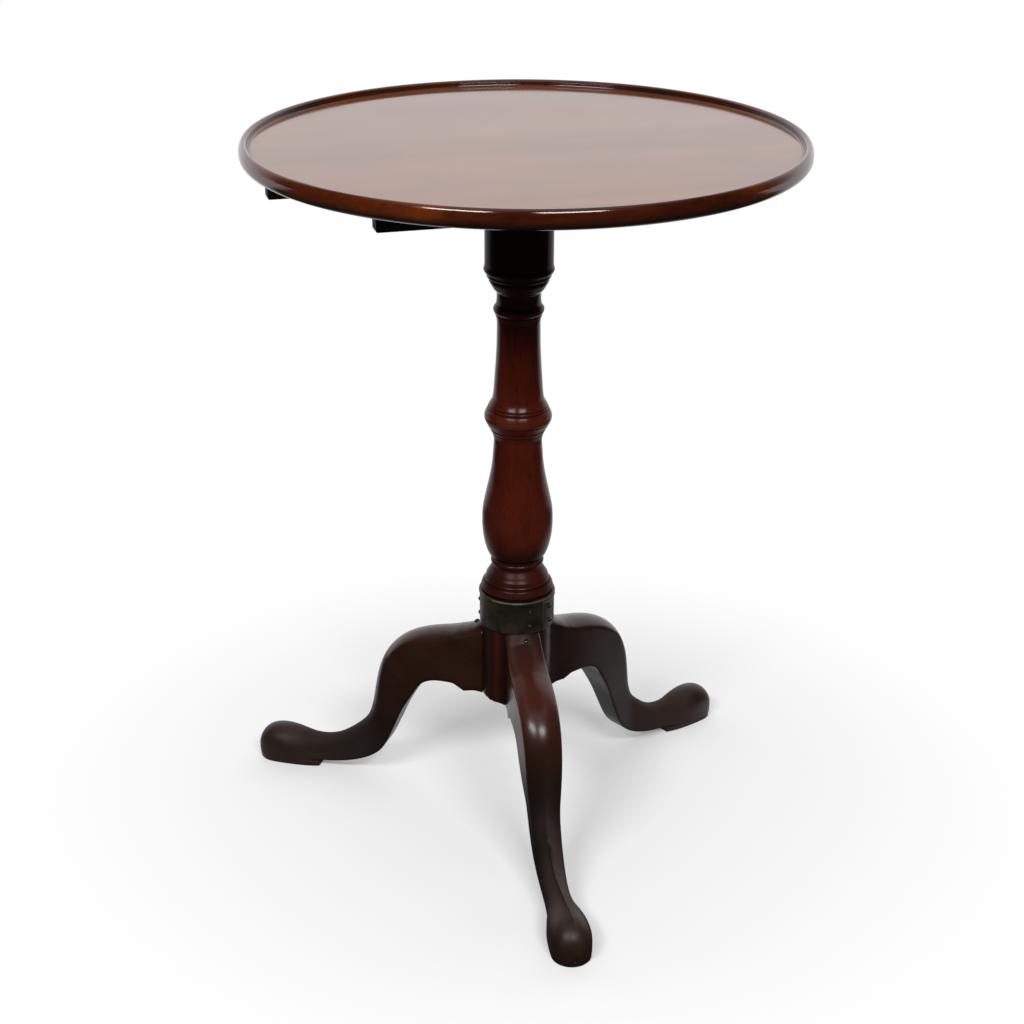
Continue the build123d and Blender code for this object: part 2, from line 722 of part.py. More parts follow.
# Legs: cabriole, lofted from crowned sections, with a scrolled underside at the knee, a
# dovetail on the shoulder and a flat sole under the foot
for name, degrees, reach_share in zip(
    ("leg_front", "leg_right", "leg_left"), leg_angles, leg_reach_shares
):
    upright = leg_plane(degrees)
    reach = leg_reach * reach_share
    across = -upright.z_dir
    sections = []
    for top_run, top_rise, foot_run, foot_rise, width_share, crown_share in leg_station_shares:
        top = upright.from_local_coords(Vector(reach * top_run, leg_rise * top_rise))
        foot = upright.from_local_coords(Vector(reach * foot_run, leg_rise * foot_rise))
        half = leg_width * width_share / 2
        tall = (top - foot).length
        brow = tall - leg_width * crown_share
        rise_dir = (top - foot).normalized()
        section_plane = Plane(origin=foot, x_dir=across, z_dir=across.cross(rise_dir))
        with BuildSketch(section_plane) as section:
            with BuildLine() as section_outline:
                Polyline((-half, brow), (-half, 0), (half, 0), (half, brow))
                ThreePointArc((half, brow), (0, tall), (-half, brow))
            make_face()
        sections.append(section.sketch.faces()[0])
    with BuildPart() as leg:
        loft(sections=sections)
        # Scroll cut in the underside behind the knee
        with BuildSketch(upright) as scroll_waste:
            with BuildLine() as scroll_outline:
                lip_curve = Spline(*[(reach * run, leg_rise * up) for run, up in leg_lip_shares])
                scroll_curve = Spline(
                    *[(reach * run, leg_rise * up) for run, up in leg_scroll_shares]
                )
                waste_rise = leg_rise * scroll_waste_share
                Polyline(
                    scroll_curve @ 1,
                    ((lip_curve @ 1).X, waste_rise),
                    ((lip_curve @ 0).X, waste_rise),
                    lip_curve @ 0,
                )
            make_face()
        extrude(amount=leg_width, both=True, mode=Mode.SUBTRACT)
        # Shoulder hollowed to fit round the pillar
        with BuildSketch(floor_plane) as shoulder:
            Circle(socket_radius + glue_gap)
        extrude(amount=leg_rise + overrun, mode=Mode.SUBTRACT)
        # Sliding dovetail
        tail_plane = Plane(
            origin=(pillar_x, pillar_y, foot_clearance),
            x_dir=upright.x_dir,
            z_dir=(0, 0, 1),
        )
        with BuildSketch(tail_plane) as tail_plan:
            with BuildLine() as tail_outline:
                Polyline(*tail_points(0), close=True)
            make_face()
        extrude(amount=tail_top - foot_clearance)
        # Flat sole
        sole_plane = Plane(origin=(pillar_x, pillar_y, 0), x_dir=upright.x_dir, z_dir=(0, 0, 1))
        with BuildSketch(sole_plane) as sole_plan:
            toe_run = reach * sole_toe_share
            toe_radius = leg_width / 2 * sole_toe_width_share
            with BuildLine() as sole_outline:
                side_points = [
                    (reach * run, leg_width * wide) for run, wide in sole_side_shares
                ]
                left_side = Spline(*side_points, (toe_run, toe_radius))
                toe = ThreePointArc(
                    (toe_run, toe_radius), (toe_run + toe_radius, 0), (toe_run, -toe_radius)
                )
                right_side = Spline((toe_run, -toe_radius), *[(x, -y) for x, y in reversed(side_points)])
                Line(right_side @ 1, left_side @ 0)
            make_face()
        extrude(amount=sole_thickness)
        # Hole for the nail through the shoulder, with a seat for its head
        nail_plane = leg_plane(degrees + leg_nail_turn, leg_nail_run, leg_nail_rise, leg_nail_lean)
        with Locations(Plane(origin=nail_plane.origin, z_dir=nail_plane.y_dir)):
            Cylinder(
                nail_shank_radius + glue_gap,
                (leg_nail_length + glue_gap) * 2,
                mode=Mode.SUBTRACT,
            )
            Cylinder(
                nail_head_radius + glue_gap,
                nail_head_height * 2,
                align=(Align.CENTER, Align.CENTER, Align.MIN),
                mode=Mode.SUBTRACT,
            )
    leg.part.label = name
    export_step(leg.part, "parts/" + name + ".step")

# Iron collar: a band with a flared top edge, its outer end lapped over its inner one
with BuildPart() as iron_collar:
    for outer_radius, span, turn in (
        (collar_radius, 360, 0),
        (lap_radius, collar_lap_span, leg_angles[0] + collar_lap_turn),
    ):
        with BuildSketch(leg_plane(turn)) as collar_profile:
            with BuildLine() as collar_outline:
                Polyline(
                    (collar_inner_radius, collar_foot),
                    (outer_radius, collar_foot),
                    (outer_radius, collar_top - collar_rim - collar_lip_height),
                    (outer_radius + collar_lip, collar_top - collar_rim - collar_lip_height / 2),
                    (outer_radius + collar_lip, collar_top - collar_rim),
                    (outer_radius, collar_top),
                    (collar_inner_radius, collar_top),
                    close=True,
                )
            make_face()
        revolve(axis=pillar_axis, revolution_arc=span)
    for nail_plane in collar_nail_planes:
        with Locations(Plane(origin=nail_plane.origin, z_dir=nail_plane.y_dir)):
            Cylinder(nail_shank_radius + glue_gap, nail_length * 2, mode=Mode.SUBTRACT)
iron_collar.part.label = "iron_collar"
export_step(iron_collar.part, "parts/iron_collar.step")

# Dome-headed nails: two in each column of the collar, one in the shoulder of each leg
for name, planes, length in (
    ("collar_nails", collar_nail_planes, nail_length),
    ("leg_nails", leg_nail_planes, leg_nail_length),
):
    with BuildPart() as nails:
        for nail_plane in planes:
            with BuildSketch(nail_plane) as nail_profile:
                with BuildLine() as nail_outline:
                    shank = Polyline(
                        (0, nail_head_height),
                        (0, -length),
                        (nail_shank_radius, nail_shank_radius * 2 - length),
                        (nail_shank_radius, 0),
                        (nail_head_radius, 0),
                    )
                    TangentArc(shank @ 0, shank @ 1, tangent=(1, 0))
                make_face()
            revolve(axis=Axis(nail_plane.origin, nail_plane.y_dir))
    nails.part.label = name
    export_step(nails.part, "parts/" + name + ".step")

# Bolt plate: screwed under the board, with two guides for the bolt
plate_length = plate_end_x - plate_start_x
plate_middle_x = (plate_start_x + plate_end_x) / 2
with BuildPart() as bolt_plate:
    with BuildSketch(Plane(origin=(plate_middle_x, pillar_y, plate_foot))) as plate_plan:
        RectangleRounded(plate_length, bolt_plate_width, bolt_plate_thickness)
    extrude(amount=bolt_plate_thickness)
    for guide_x in (first_guide_x, second_guide_x):
        guide_plane = Plane(origin=(guide_x, pillar_y, bolt_z), x_dir=(0, 1, 0), z_dir=(1, 0, 0))
        with BuildSketch(guide_plane) as guide_face:
            Circle(guide_width / 2)
            with Locations((0, (plate_foot - bolt_z) / 2)):
                Rectangle(guide_width, plate_foot - bolt_z)
        extrude(amount=guide_length)
    with BuildSketch(Plane(origin=(plate_start_x, pillar_y, bolt_z), z_dir=(1, 0, 0))) as guide_bore:
        Circle(bolt_radius + running_clearance)
    extrude(amount=plate_length, mode=Mode.SUBTRACT)
    screw_shift = (plate_length / 2 - small_screw_inset, bolt_plate_width / 2 - small_screw_inset)
    under_plate = Plane(origin=(plate_middle_x, pillar_y, plate_foot), z_dir=(0, 0, -1))
    with Locations(under_plate):
        with GridLocations(screw_shift[0] * 2, screw_shift[1] * 2, 2, 2):
            CounterBoreHole(
                radius=small_screw_shank_radius + glue_gap,
                counter_bore_radius=small_screw_head_radius + glue_gap,
                counter_bore_depth=small_screw_head_depth,
                depth=bolt_plate_thickness + overrun,
            )
bolt_plate.part.label = "bolt_plate"
export_step(bolt_plate.part, "parts/bolt_plate.step")

# Keeper: the plate on the end of the block that the bolt shoots through
with BuildPart() as bolt_keeper:
    with BuildSketch(keeper_plane) as keeper_face:
        RectangleRounded(keeper_width, keeper_height, keeper_thickness)
        Circle(bolt_radius + keeper_bolt_gap, mode=Mode.SUBTRACT)
    extrude(amount=keeper_thickness)
    with Locations(keeper_plane.offset(keeper_thickness)):
        with Locations((-keeper_screw_shift, 0), (keeper_screw_shift, 0)):
            CounterBoreHole(
                radius=small_screw_shank_radius + glue_gap,
                counter_bore_radius=small_screw_head_radius + glue_gap,
                counter_bore_depth=small_screw_head_depth,
                depth=keeper_thickness + overrun,
            )
bolt_keeper.part.label = "bolt_keeper"
export_step(bolt_keeper.part, "parts/bolt_keeper.step")

# Small screws: four in the plate from below, two in the keeper from the end of the block
plate_screw_planes = [
    Plane(
        origin=(plate_middle_x + screw_shift[0] * end, pillar_y + screw_shift[1] * side, plate_foot),
        x_dir=(1, 0, 0),
        z_dir=(0, -1, 0),
    )
    for end in (-1, 1)
    for side in (-1, 1)
]
keeper_screw_planes = [
    Plane(
        origin=(block_end_x + keeper_thickness, pillar_y + keeper_screw_shift * side, bolt_z),
        x_dir=(0, 1, 0),
        z_dir=(0, 0, -1),
    )
    for side in (-1, 1)
]
for name, planes in (
    ("bolt_plate_screws", plate_screw_planes),
    ("keeper_screws", keeper_screw_planes),
):
    with BuildPart() as small_screws:
        for screw_plane in planes:
            with BuildSketch(screw_plane) as screw_profile:
                with BuildLine() as screw_outline:
                    Polyline(
                        (0, 0),
                        (small_screw_head_radius, 0),
                        (small_screw_head_radius, small_screw_head_depth),
                        (small_screw_shank_radius, small_screw_head_depth),
                        (small_screw_shank_radius, small_screw_length - small_screw_shank_radius),
                        (0, small_screw_length),
                        close=True,
                    )
                make_face()
            revolve(axis=Axis(screw_plane.origin, screw_plane.y_dir))
            with Locations(screw_plane):
                Box(
                    small_screw_head_radius * 2 + overrun,
                    small_screw_head_depth,
                    screw_slot_width,
                    mode=Mode.SUBTRACT,
                )
    small_screws.part.label = name
    export_step(small_screws.part, "parts/" + name + ".step")

# Bolt: a round bar with a hole for the stem of its knob
bolt_middle_x = (bolt_tip_x + bolt_tail_x) / 2
with BuildPart() as sliding_bolt:
    bolt_plane = Plane(origin=(bolt_tip_x, pillar_y, bolt_z), x_dir=(0, 1, 0), z_dir=(1, 0, 0))
    with BuildSketch(bolt_plane) as bolt_section:
        Circle(bolt_radius)
    extrude(amount=bolt_tail_x - bolt_tip_x)
    chamfer(sliding_bolt.edges().group_by(Axis.X)[0], length=bolt_tip_chamfer)
    with BuildSketch(Plane(origin=(knob_x, pillar_y, bolt_z))) as stem_hole:
        Circle(knob_stem_radius)
    extrude(amount=-bolt_radius - overrun, mode=Mode.SUBTRACT)
sliding_bolt.part.label = "sliding_bolt"
export_step(sliding_bolt.part, "parts/sliding_bolt.step")

# Knob: a ball on a stem that is driven up into the bolt
with BuildPart() as bolt_knob:
    with BuildSketch(Plane(origin=(knob_x, pillar_y, bolt_z))) as stem_section:
        Circle(knob_stem_radius)
    extrude(amount=-knob_stem_length)
    with Locations((knob_x, pillar_y, bolt_z - knob_stem_length - knob_radius / 2)):
        Sphere(knob_radius)
bolt_knob.part.label = "bolt_knob"
export_step(bolt_knob.part, "parts/bolt_knob.step")
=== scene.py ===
import math

import bmesh
import bpy
import numpy as np
from mathutils import Matrix, Vector


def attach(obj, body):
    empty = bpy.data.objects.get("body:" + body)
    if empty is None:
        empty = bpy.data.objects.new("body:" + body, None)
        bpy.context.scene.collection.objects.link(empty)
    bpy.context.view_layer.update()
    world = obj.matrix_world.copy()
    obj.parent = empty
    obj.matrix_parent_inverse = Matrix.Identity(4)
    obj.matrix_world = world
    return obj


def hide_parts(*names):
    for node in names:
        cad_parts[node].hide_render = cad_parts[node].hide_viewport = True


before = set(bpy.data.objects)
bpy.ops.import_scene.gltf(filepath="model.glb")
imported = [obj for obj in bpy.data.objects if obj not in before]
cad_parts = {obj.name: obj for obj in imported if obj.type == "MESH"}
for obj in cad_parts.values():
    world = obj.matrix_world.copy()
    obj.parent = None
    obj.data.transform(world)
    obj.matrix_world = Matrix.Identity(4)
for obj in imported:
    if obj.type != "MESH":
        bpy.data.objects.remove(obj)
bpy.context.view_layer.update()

# Round wine table: dished top on two bearers, turned pillar, three cabriole legs. Shapes are
# worked out in millimetres, and become metres in the mesh.
MM = 0.001
TABLE_HEIGHT = 710.0
BOARD_RADIUS = 260.5
BOARD_THICKNESS = 18.5
BOARD_MIDDLE = (0.0, 14.940)
PILLAR_MIDDLE = (-5.3, 16.440)
SOCKET_RADIUS = 35.4
SEAT_GAP = 0.1
LEG_RISE = 213.0
LEG_WIDTH = 40.0
COLLAR_SEAM = -63.0
# Turn and reach of each leg, lift of its shoulder and how far along the leg that fades, crown
# added at the shoulder's end, and lift of the scroll's cusp
LEGS = {
    "leg_front": (-94.3, 292.7, 0.018, 0.15, -2.2, 0.0),
    "leg_right": (26.192, 290.7, 0.010, 0.10, 6.5, 0.022),
    "leg_left": (146.0, 296.8, -0.020, 0.10, 5.0, 0.006),
}
# Degrees in a radian, as near as the unevenness of old work needs it
ROUND = 57.3
# Radius of the smallest ring of a turned piece, which a fan closes
HUB = 2
# Camera: swing round the table in degrees, then yaw, pitch and roll in radians, place from the
# pillar's foot in metres, sensor in mm, lens and picture in pixels
CAMERA_SWING = -15.5
CAMERA_TURNS = (-0.0032, 0.4224, 0.0054)
CAMERA_STAND = (0.0, -1.69522, 1.09553)
SENSOR_WIDTH = 36.0
LENS_PIXELS = 1871.14
PICTURE_WIDTH = 1024


def linked(name, data):
    """Object made from its data and put into the scene."""
    made = bpy.data.objects.new(name, data)
    bpy.context.scene.collection.objects.link(made)
    return made


# Camera

def camera_as_photographed():
    """Camera that frames the table as the photograph does: 65.8 mm lens, 24 degrees down."""
    yaw, pitch, roll = CAMERA_TURNS
    level = math.cos(pitch)
    aim = Vector((math.sin(yaw) * level, math.cos(yaw) * level, -math.sin(pitch)))
    right = Vector((math.cos(yaw), -math.sin(yaw), 0.0))
    up = right.cross(aim)
    right, up = (
        right * math.cos(roll) + up * math.sin(roll),
        up * math.cos(roll) - right * math.sin(roll),
    )
    swing = Matrix.Rotation(math.radians(CAMERA_SWING), 3, "Z")
    aim, right, up = swing @ aim, swing @ right, swing @ up
    stand = swing @ Vector(CAMERA_STAND)
    stand += Vector((PILLAR_MIDDLE[0] * MM, PILLAR_MIDDLE[1] * MM, 0.0))
    lens = bpy.data.cameras.new("camera")
    lens.sensor_width = SENSOR_WIDTH
    lens.lens = LENS_PIXELS / PICTURE_WIDTH * SENSOR_WIDTH
    lens.clip_end = 50.0
    camera = linked("camera", lens)
    view = Matrix((right, up, -aim)).transposed().to_4x4()
    view.translation = stand
    camera.matrix_world = view
    bpy.context.scene.camera = camera


camera_as_photographed()


# Curves and skins

def flowing(points, count):
    """Smooth curve through points: a cubic between each two, with the bend carried on from one
    to the next and none at the two ends, sampled at even steps along the chords."""
    p = np.asarray(points, float)
    t = np.r_[0.0, np.cumsum(np.linalg.norm(np.diff(p, axis=0), axis=1))]
    h = np.diff(t)
    n = len(p)
    i = np.arange(1, n - 1)
    system = np.eye(n)
    system[i, i - 1], system[i, i], system[i, i + 1] = h[:-1], 2 * (h[:-1] + h[1:]), h[1:]
    slope = np.diff(p, axis=0) / h[:, None]
    right = np.zeros_like(p)
    right[1:-1] = 6 * np.diff(slope, axis=0)
    bend = np.linalg.solve(system, right)
    s = np.linspace(0, t[-1], count)
    k = np.clip(np.searchsorted(t, s, side="right") - 1, 0, n - 2)
    step = h[k][:, None]
    u = (s - t[k])[:, None]
    w = step - u
    return (
        (bend[k] * w**3 + bend[k + 1] * u**3) / (6 * step)
        + (p[k] / step - bend[k] * step / 6) * w
        + (p[k + 1] / step - bend[k + 1] * step / 6) * u
    )


# Easing: most of a side that a corner may take, least turn that is eased, and the distances
# under which two points are one or a step is left out
EASE_SHARE = 0.4
LEAST_TURN = math.radians(14)
SAME_POINT, SHORT_STEP = 1e-6, 1e-4


def eased(profile, ease, steps=4):
    """Profile with its sharp corners rounded: each corner P becomes P + e (a (1-t)^2 + b t^2),
    with a and b the directions to its neighbours and e the ease, or less on a short side."""
    p = np.asarray(profile, float)
    p = p[np.r_[True, np.linalg.norm(np.diff(p, axis=0), axis=1) > SAME_POINT]]
    back, ahead = p[:-2] - p[1:-1], p[2:] - p[1:-1]
    back_run = np.linalg.norm(back, axis=1, keepdims=True)
    ahead_run = np.linalg.norm(ahead, axis=1, keepdims=True)
    back, ahead = back / back_run, ahead / ahead_run
    straight = -(back * ahead).sum(1, keepdims=True)
    reach = np.minimum(ease, EASE_SHARE * np.minimum(back_run, ahead_run))
    reach = np.where(straight > math.cos(LEAST_TURN), 0.0, reach)
    t = np.linspace(0, 1, steps)[None, :, None]
    bend = back[:, None] * (1 - t) ** 2 + ahead[:, None] * t**2
    corner = p[1:-1, None] + reach[:, None] * bend
    path = np.concatenate([p[:1], corner.reshape(-1, p.shape[1]), p[-1:]])
    kept = np.r_[True, np.linalg.norm(np.diff(path, axis=0), axis=1) > SHORT_STEP]
    return path[kept]


def skin(rows, columns):
    """Faces of a closed skin over rings of points: quads between neighbouring rings, and at each
    end a fan on a middle point. The two middle points come after the rings' points."""
    start = np.arange(rows - 1)[:, None] * columns
    after = start + columns
    here = np.arange(columns)
    there = np.roll(here, -1)
    quads = np.stack([start + here, start + there, after + there, after + here], -1)
    first, last = rows * columns, rows * columns + 1
    foot = np.stack([np.full(columns, first), there, here], -1)
    end = (rows - 1) * columns
    head = np.stack([np.full(columns, last), end + here, end + there], -1)
    return quads.reshape(-1, 4).tolist() + foot.tolist() + head.tolist()


def with_middles(rings):
    """The points of all rings, and then the middle of the first and of the last one."""
    ends = np.stack([rings[0].mean(0), rings[-1].mean(0)])
    return np.concatenate([rings.reshape(-1, rings.shape[2]), ends])


def volume_sign(points, faces):
    """Sign of the volume inside the faces: the sum of each fan triangle's triple product."""
    quads = np.array([f for f in faces if len(f) == 4])
    tris = np.array([f for f in faces if len(f) == 3])
    parts = [tris] if len(tris) else []
    if len(quads):
        parts += [quads[:, [0, 1, 2]], quads[:, [0, 2, 3]]]
    a, b, c = (points[np.concatenate(parts)[:, i]] for i in range(3))
    return np.einsum("ij,ij->i", a, np.cross(b, c)).sum()


def piece(name, shells, body, material, stands_for):
    """One object from closed shells of (points in mm, faces, marks). Marks are values at each
    point that its finish reads, such as where it is worn and how its grain runs."""
    points, faces, marks, base = [], [], {}, 0
    for shell_points, shell_faces, shell_marks in shells:
        if volume_sign(shell_points, shell_faces) < 0:
            shell_faces = [f[::-1] for f in shell_faces]
        points.append(shell_points)
        faces += [[i + base for i in f] for f in shell_faces] if base else shell_faces
        base += len(shell_points)
        for mark, values in shell_marks.items():
            marks.setdefault(mark, []).append(values)
    mesh = bpy.data.meshes.new(name)
    mesh.from_pydata((np.concatenate(points) * MM).tolist(), [], faces)
    for mark, values in marks.items():
        values = np.concatenate(values).astype(np.float32)
        kind, field = ("FLOAT_VECTOR", "vector") if values.ndim == 2 else ("FLOAT", "value")
        mesh.attributes.new(mark, kind, "POINT").data.foreach_set(field, values.ravel())
    mesh.polygons.foreach_set("use_smooth", np.ones(len(mesh.polygons), bool))
    mesh.materials.append(material)
    made = linked(name, mesh)
    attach(made, body)
    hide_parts(*stands_for)


def ripple(x, seed, waves, longest):
    """Slow unevenness between -1 and 1: a sum of sine waves with seeded lengths and phases."""
    chance = np.random.default_rng(seed)
    total = np.zeros_like(x)
    for order in range(waves):
        phase = chance.uniform(0, 2 * math.pi)
        total += np.sin(x * 2 * math.pi * (order + 1) / longest + phase) * chance.uniform(0.4, 1)
    return total / waves


def bump(x, middle, spread):
    """Bell curve of height 1 round a middle."""
    return np.exp(-(((x - middle) / spread) ** 2))


# Finishes

class Finish:
    """A material, or the room's own light, under construction: nodes are added one by one and
    joined by their sockets."""

    def __init__(self, name, room=False):
        self.made = bpy.data.worlds.new(name) if room else bpy.data.materials.new(name)
        self.made.use_nodes = True
        self.tree = self.made.node_tree
        self.tree.nodes.clear()
        output, shader = ("World", "Background") if room else ("Material", "BsdfPrincipled")
        self.out = self.tree.nodes.new("ShaderNodeOutput" + output)
        self.shader = self.tree.nodes.new("ShaderNode" + shader)
        self.tree.links.new(self.shader.outputs[0], self.out.inputs["Surface"])

    def put(self, socket, value):
        """Feeds a socket with another node's output, a colour or a plain value."""
        if isinstance(value, bpy.types.NodeSocket):
            self.tree.links.new(value, socket)
        elif isinstance(value, tuple) and socket.type == "RGBA":
            socket.default_value = (*value, 1.0)
        else:
            socket.default_value = value

    def node(self, kind, feeds=(), **settings):
        """A node of a kind, with its settings, and its inputs fed by number or name."""
        made = self.tree.nodes.new("ShaderNode" + kind)
        for setting, value in settings.items():
            setattr(made, setting, value)
        for key, value in dict(feeds).items():
            self.put(made.inputs[key], value)
        return made

    def place(self, scale=(1, 1, 1), turn=(0, 0, 0)):
        """Object coordinates stretched by a scale, for a pattern that runs through the piece."""
        where = self.node("TexCoord").outputs["Object"]
        feeds = {"Vector": where, "Scale": scale, "Rotation": turn}
        return self.node("Mapping", feeds).outputs[0]

    def mark(self, name, scale=None):
        """A mark of the mesh: its value, or where a scale is given, its stretched place."""
        read = self.node("Attribute", attribute_name=name)
        if scale is None:
            return read.outputs["Fac"]
        return self.node("Mapping", {"Vector": read.outputs["Vector"], "Scale": scale}).outputs[0]

    def cloud(self, where, scale, detail=3.0, rough=0.5, warp=0.0):
        """Cloudy pattern between 0 and 1."""
        feeds = {"Vector": where, "Scale": scale, "Detail": detail}
        feeds.update({"Roughness": rough, "Distortion": warp})
        return self.node("TexNoise", feeds).outputs["Fac"]

    def span(self, value, low, high, to_low=0.0, to_high=1.0, smooth=True):
        """Value carried from between low and high to between two others, and held at the ends."""
        kind = "SMOOTHSTEP" if smooth else "LINEAR"
        feeds = {"Value": value, "From Min": low, "From Max": high}
        feeds.update({"To Min": to_low, "To Max": to_high})
        return self.node("MapRange", feeds, interpolation_type=kind).outputs[0]

    def calc(self, operation, a, b=0.0):
        """Two values worked out together, such as their sum or the larger one."""
        return self.node("Math", {0: a, 1: b}, operation=operation).outputs[0]

    def blend(self, share, a, b, kind="MIX"):
        """Colour a with a share of colour b mixed in, or multiplied in."""
        made = self.node("Mix", data_type="RGBA", blend_type=kind)
        for number, value in {0: share, 6: a, 7: b}.items():
            self.put(made.inputs[number], value)
        return made.outputs[2]

    def set(self, **feeds):
        """Feeds the shader's own inputs, named with _ for each space."""
        for key, value in feeds.items():
            self.put(self.shader.inputs[key.replace("_", " ")], value)

    def relief(self, layers):
        """Bumps laid one over another: each layer is (height, depth in metres)."""
        normal = None
        for height, depth in layers:
            feeds = {"Height": height, "Distance": depth, "Strength": 1.0}
            if normal is not None:
                feeds["Normal"] = normal
            normal = self.node("Bump", feeds).outputs[0]
        self.put(self.shader.inputs["Normal"], normal)


# Colours of what darkens the wood: old stain and the pores are multiplied in; painted shade,
# with some soot, and the dirt of a crack are laid over it
STAINED, PORES = (0.42, 0.36, 0.36), (0.3, 0.24, 0.22)
SHADE_AND_SOOT, CRACK_DIRT = (0.006, 0.005, 0.004), (0.002, 0.001, 0.001)
# Share of the polish's shine that the painted shade and soot leave
SHADE_AND_SOOT_SHINE = 0.15


def polished_wood(
    name, dark, warm, grain, fine, gloss, shine, relief,
    pore=0.5, stain=0.5, edge=None, rub=None, tints=None, soot=False, dull=False, crack=False,
):
    """Polished mahogany: slow bands of figure, fine fibres and short dark pores all run along the
    grain; grain and fine are the coordinates, slow and quick, already stretched along it. Marks
    on the mesh say where the edge moulding takes a darker copy of the wood as painted shade, where
    the rubbed places are, where a tint shows (a ruddy knee, a painted sheen), where painted shade
    with some soot darkens the wood and dulls its polish, where a lost gloss dulls it, and how far
    off the crack's line is."""
    f = Finish(name)
    figure = f.cloud(grain(f), 9.0, 4.0, 0.55, 0.5)
    fibres = f.cloud(fine(f), 190.0, 3.0, 0.6)
    pores = f.span(f.cloud(fine(f), 620.0, 1.0, 0.4), 0.60, 0.72)
    patch = f.cloud(f.place(), 11.0, 3.0, 0.55)
    fibre_share = f.span(fibres, 0.3, 0.7, -0.14, 0.14, False)
    share = f.calc("ADD", f.span(figure, 0.35, 0.68), fibre_share)
    colour = f.blend(share, dark, warm)
    if edge:
        # A darker copy of the wood on the moulding, edge and underside: painted shade on the dish's
        # wood
        colour = f.blend(f.mark("moulding"), colour, f.blend(share, *edge))
    colour = f.blend(f.span(patch, 0.36, 0.62, stain, 0.0), colour, STAINED, "MULTIPLY")
    colour = f.blend(f.calc("MULTIPLY", pores, pore), colour, PORES, "MULTIPLY")
    rough = f.span(patch, 0.3, 0.7, *gloss)
    if rub:
        uneven = f.span(f.cloud(f.place(), 45.0, 2.0), 0.25, 0.7)
        rubbed = f.calc("MULTIPLY", f.mark("worn"), uneven)
        colour = f.blend(f.calc("MULTIPLY", rubbed, 0.75), colour, rub)
        rough = f.calc("ADD", rough, f.calc("MULTIPLY", rubbed, 0.08))
    for tint, shade in (tints or {}).items():
        colour = f.blend(f.mark(tint), colour, shade)
    # The plain number is the shine wherever painted shade, soot and the crack don't reach
    f.set(Specular_IOR_Level=shine)
    if soot:
        # Painted shade, with some soot: the wood goes near-black where the mark is full, and loses
        # shine
        colour = f.blend(f.mark("soot"), colour, SHADE_AND_SOOT)
        shine = f.span(f.mark("soot"), 0.0, 1.0, shine, SHADE_AND_SOOT_SHINE * shine, False)
    if dull:
        rough = f.calc("ADD", rough, f.mark("dull"))
    if crack:
        split = f.mark("crack")
        line = f.span(f.calc("ABSOLUTE", split), 0.12, 0.55, 1.0, 0.0)
        dirt = f.span(f.calc("ABSOLUTE", f.calc("ADD", split, 1.3)), 0.0, 1.6, 0.4, 0.0)
        colour = f.blend(f.calc("MAXIMUM", line, dirt), colour, CRACK_DIRT)
        shine = f.calc("MULTIPLY", shine, f.calc("SUBTRACT", 1.0, line))
    f.set(Base_Color=colour, Roughness=rough, Specular_IOR_Level=shine)
    wave = f.cloud(f.place(), 34.0, 1.0)
    pits = f.calc("MULTIPLY", pores, -1.0)
    f.relief([(wave, relief[0]), (fibres, relief[1]), (pits, relief[2])])
    return f.made


def old_iron():
    """Dark wrought iron under old black: hammered, mottled with olive brown, its edges rubbed pale;
    along the collar's top lip that pale line is a painted highlight.
    """
    f = Finish("old iron")
    mottle = f.cloud(f.place(), 60.0, 5.0, 0.65)
    scale = f.cloud(f.place(), 420.0, 3.0, 0.6)
    black, olive, rubbed = (0.016, 0.0110, 0.0055), (0.034, 0.0235, 0.0125), (0.14, 0.125, 0.095)
    colour = f.blend(f.span(mottle, 0.35, 0.7), black, olive)
    rub = f.calc("MULTIPLY", f.mark("worn"), f.span(mottle, 0.3, 0.6))
    colour = f.blend(rub, colour, rubbed)
    f.set(Base_Color=colour, Metallic=0.4, Roughness=f.span(mottle, 0.3, 0.7, 0.36, 0.52))
    f.relief([(mottle, 0.0002), (scale, 0.00003)])
    return f.made


def nail_iron():
    """Nail heads of dark iron, polished by the duster on their crowns."""
    f = Finish("nail iron")
    mottle = f.cloud(f.place(), 260.0, 3.0, 0.6)
    f.set(
        Base_Color=f.blend(f.span(mottle, 0.35, 0.7), (0.020, 0.018, 0.014), (0.070, 0.062, 0.050)),
        Metallic=0.6,
        Roughness=f.span(mottle, 0.3, 0.7, 0.10, 0.2),
    )
    f.relief([(mottle, 0.00003)])
    return f.made


def metal(name, dark, bright, rough):
    """Aged metal: tarnish in slow clouds over a finely brushed ground."""
    f = Finish(name)
    tarnish = f.cloud(f.place(), 120.0, 4.0, 0.6)
    brushed = f.cloud(f.place((1, 0.05, 1)), 900.0, 2.0)
    f.set(
        Base_Color=f.blend(f.span(tarnish, 0.35, 0.65), dark, bright),
        Metallic=1.0,
        Roughness=f.span(tarnish, 0.3, 0.7, *rough),
    )
    f.relief([(brushed, 0.00003), (tarnish, 0.00005)])
    return f.made


def along(x, y, z):
    """Object coordinates stretched so that a pattern runs along the axis with the small share."""
    return lambda f: f.place((x, y, z))


def leg_grain(x, y, z):
    """The leg's own coordinates: along its plank, across it, and through it."""
    return lambda f: f.mark("grain", (x, y, z))
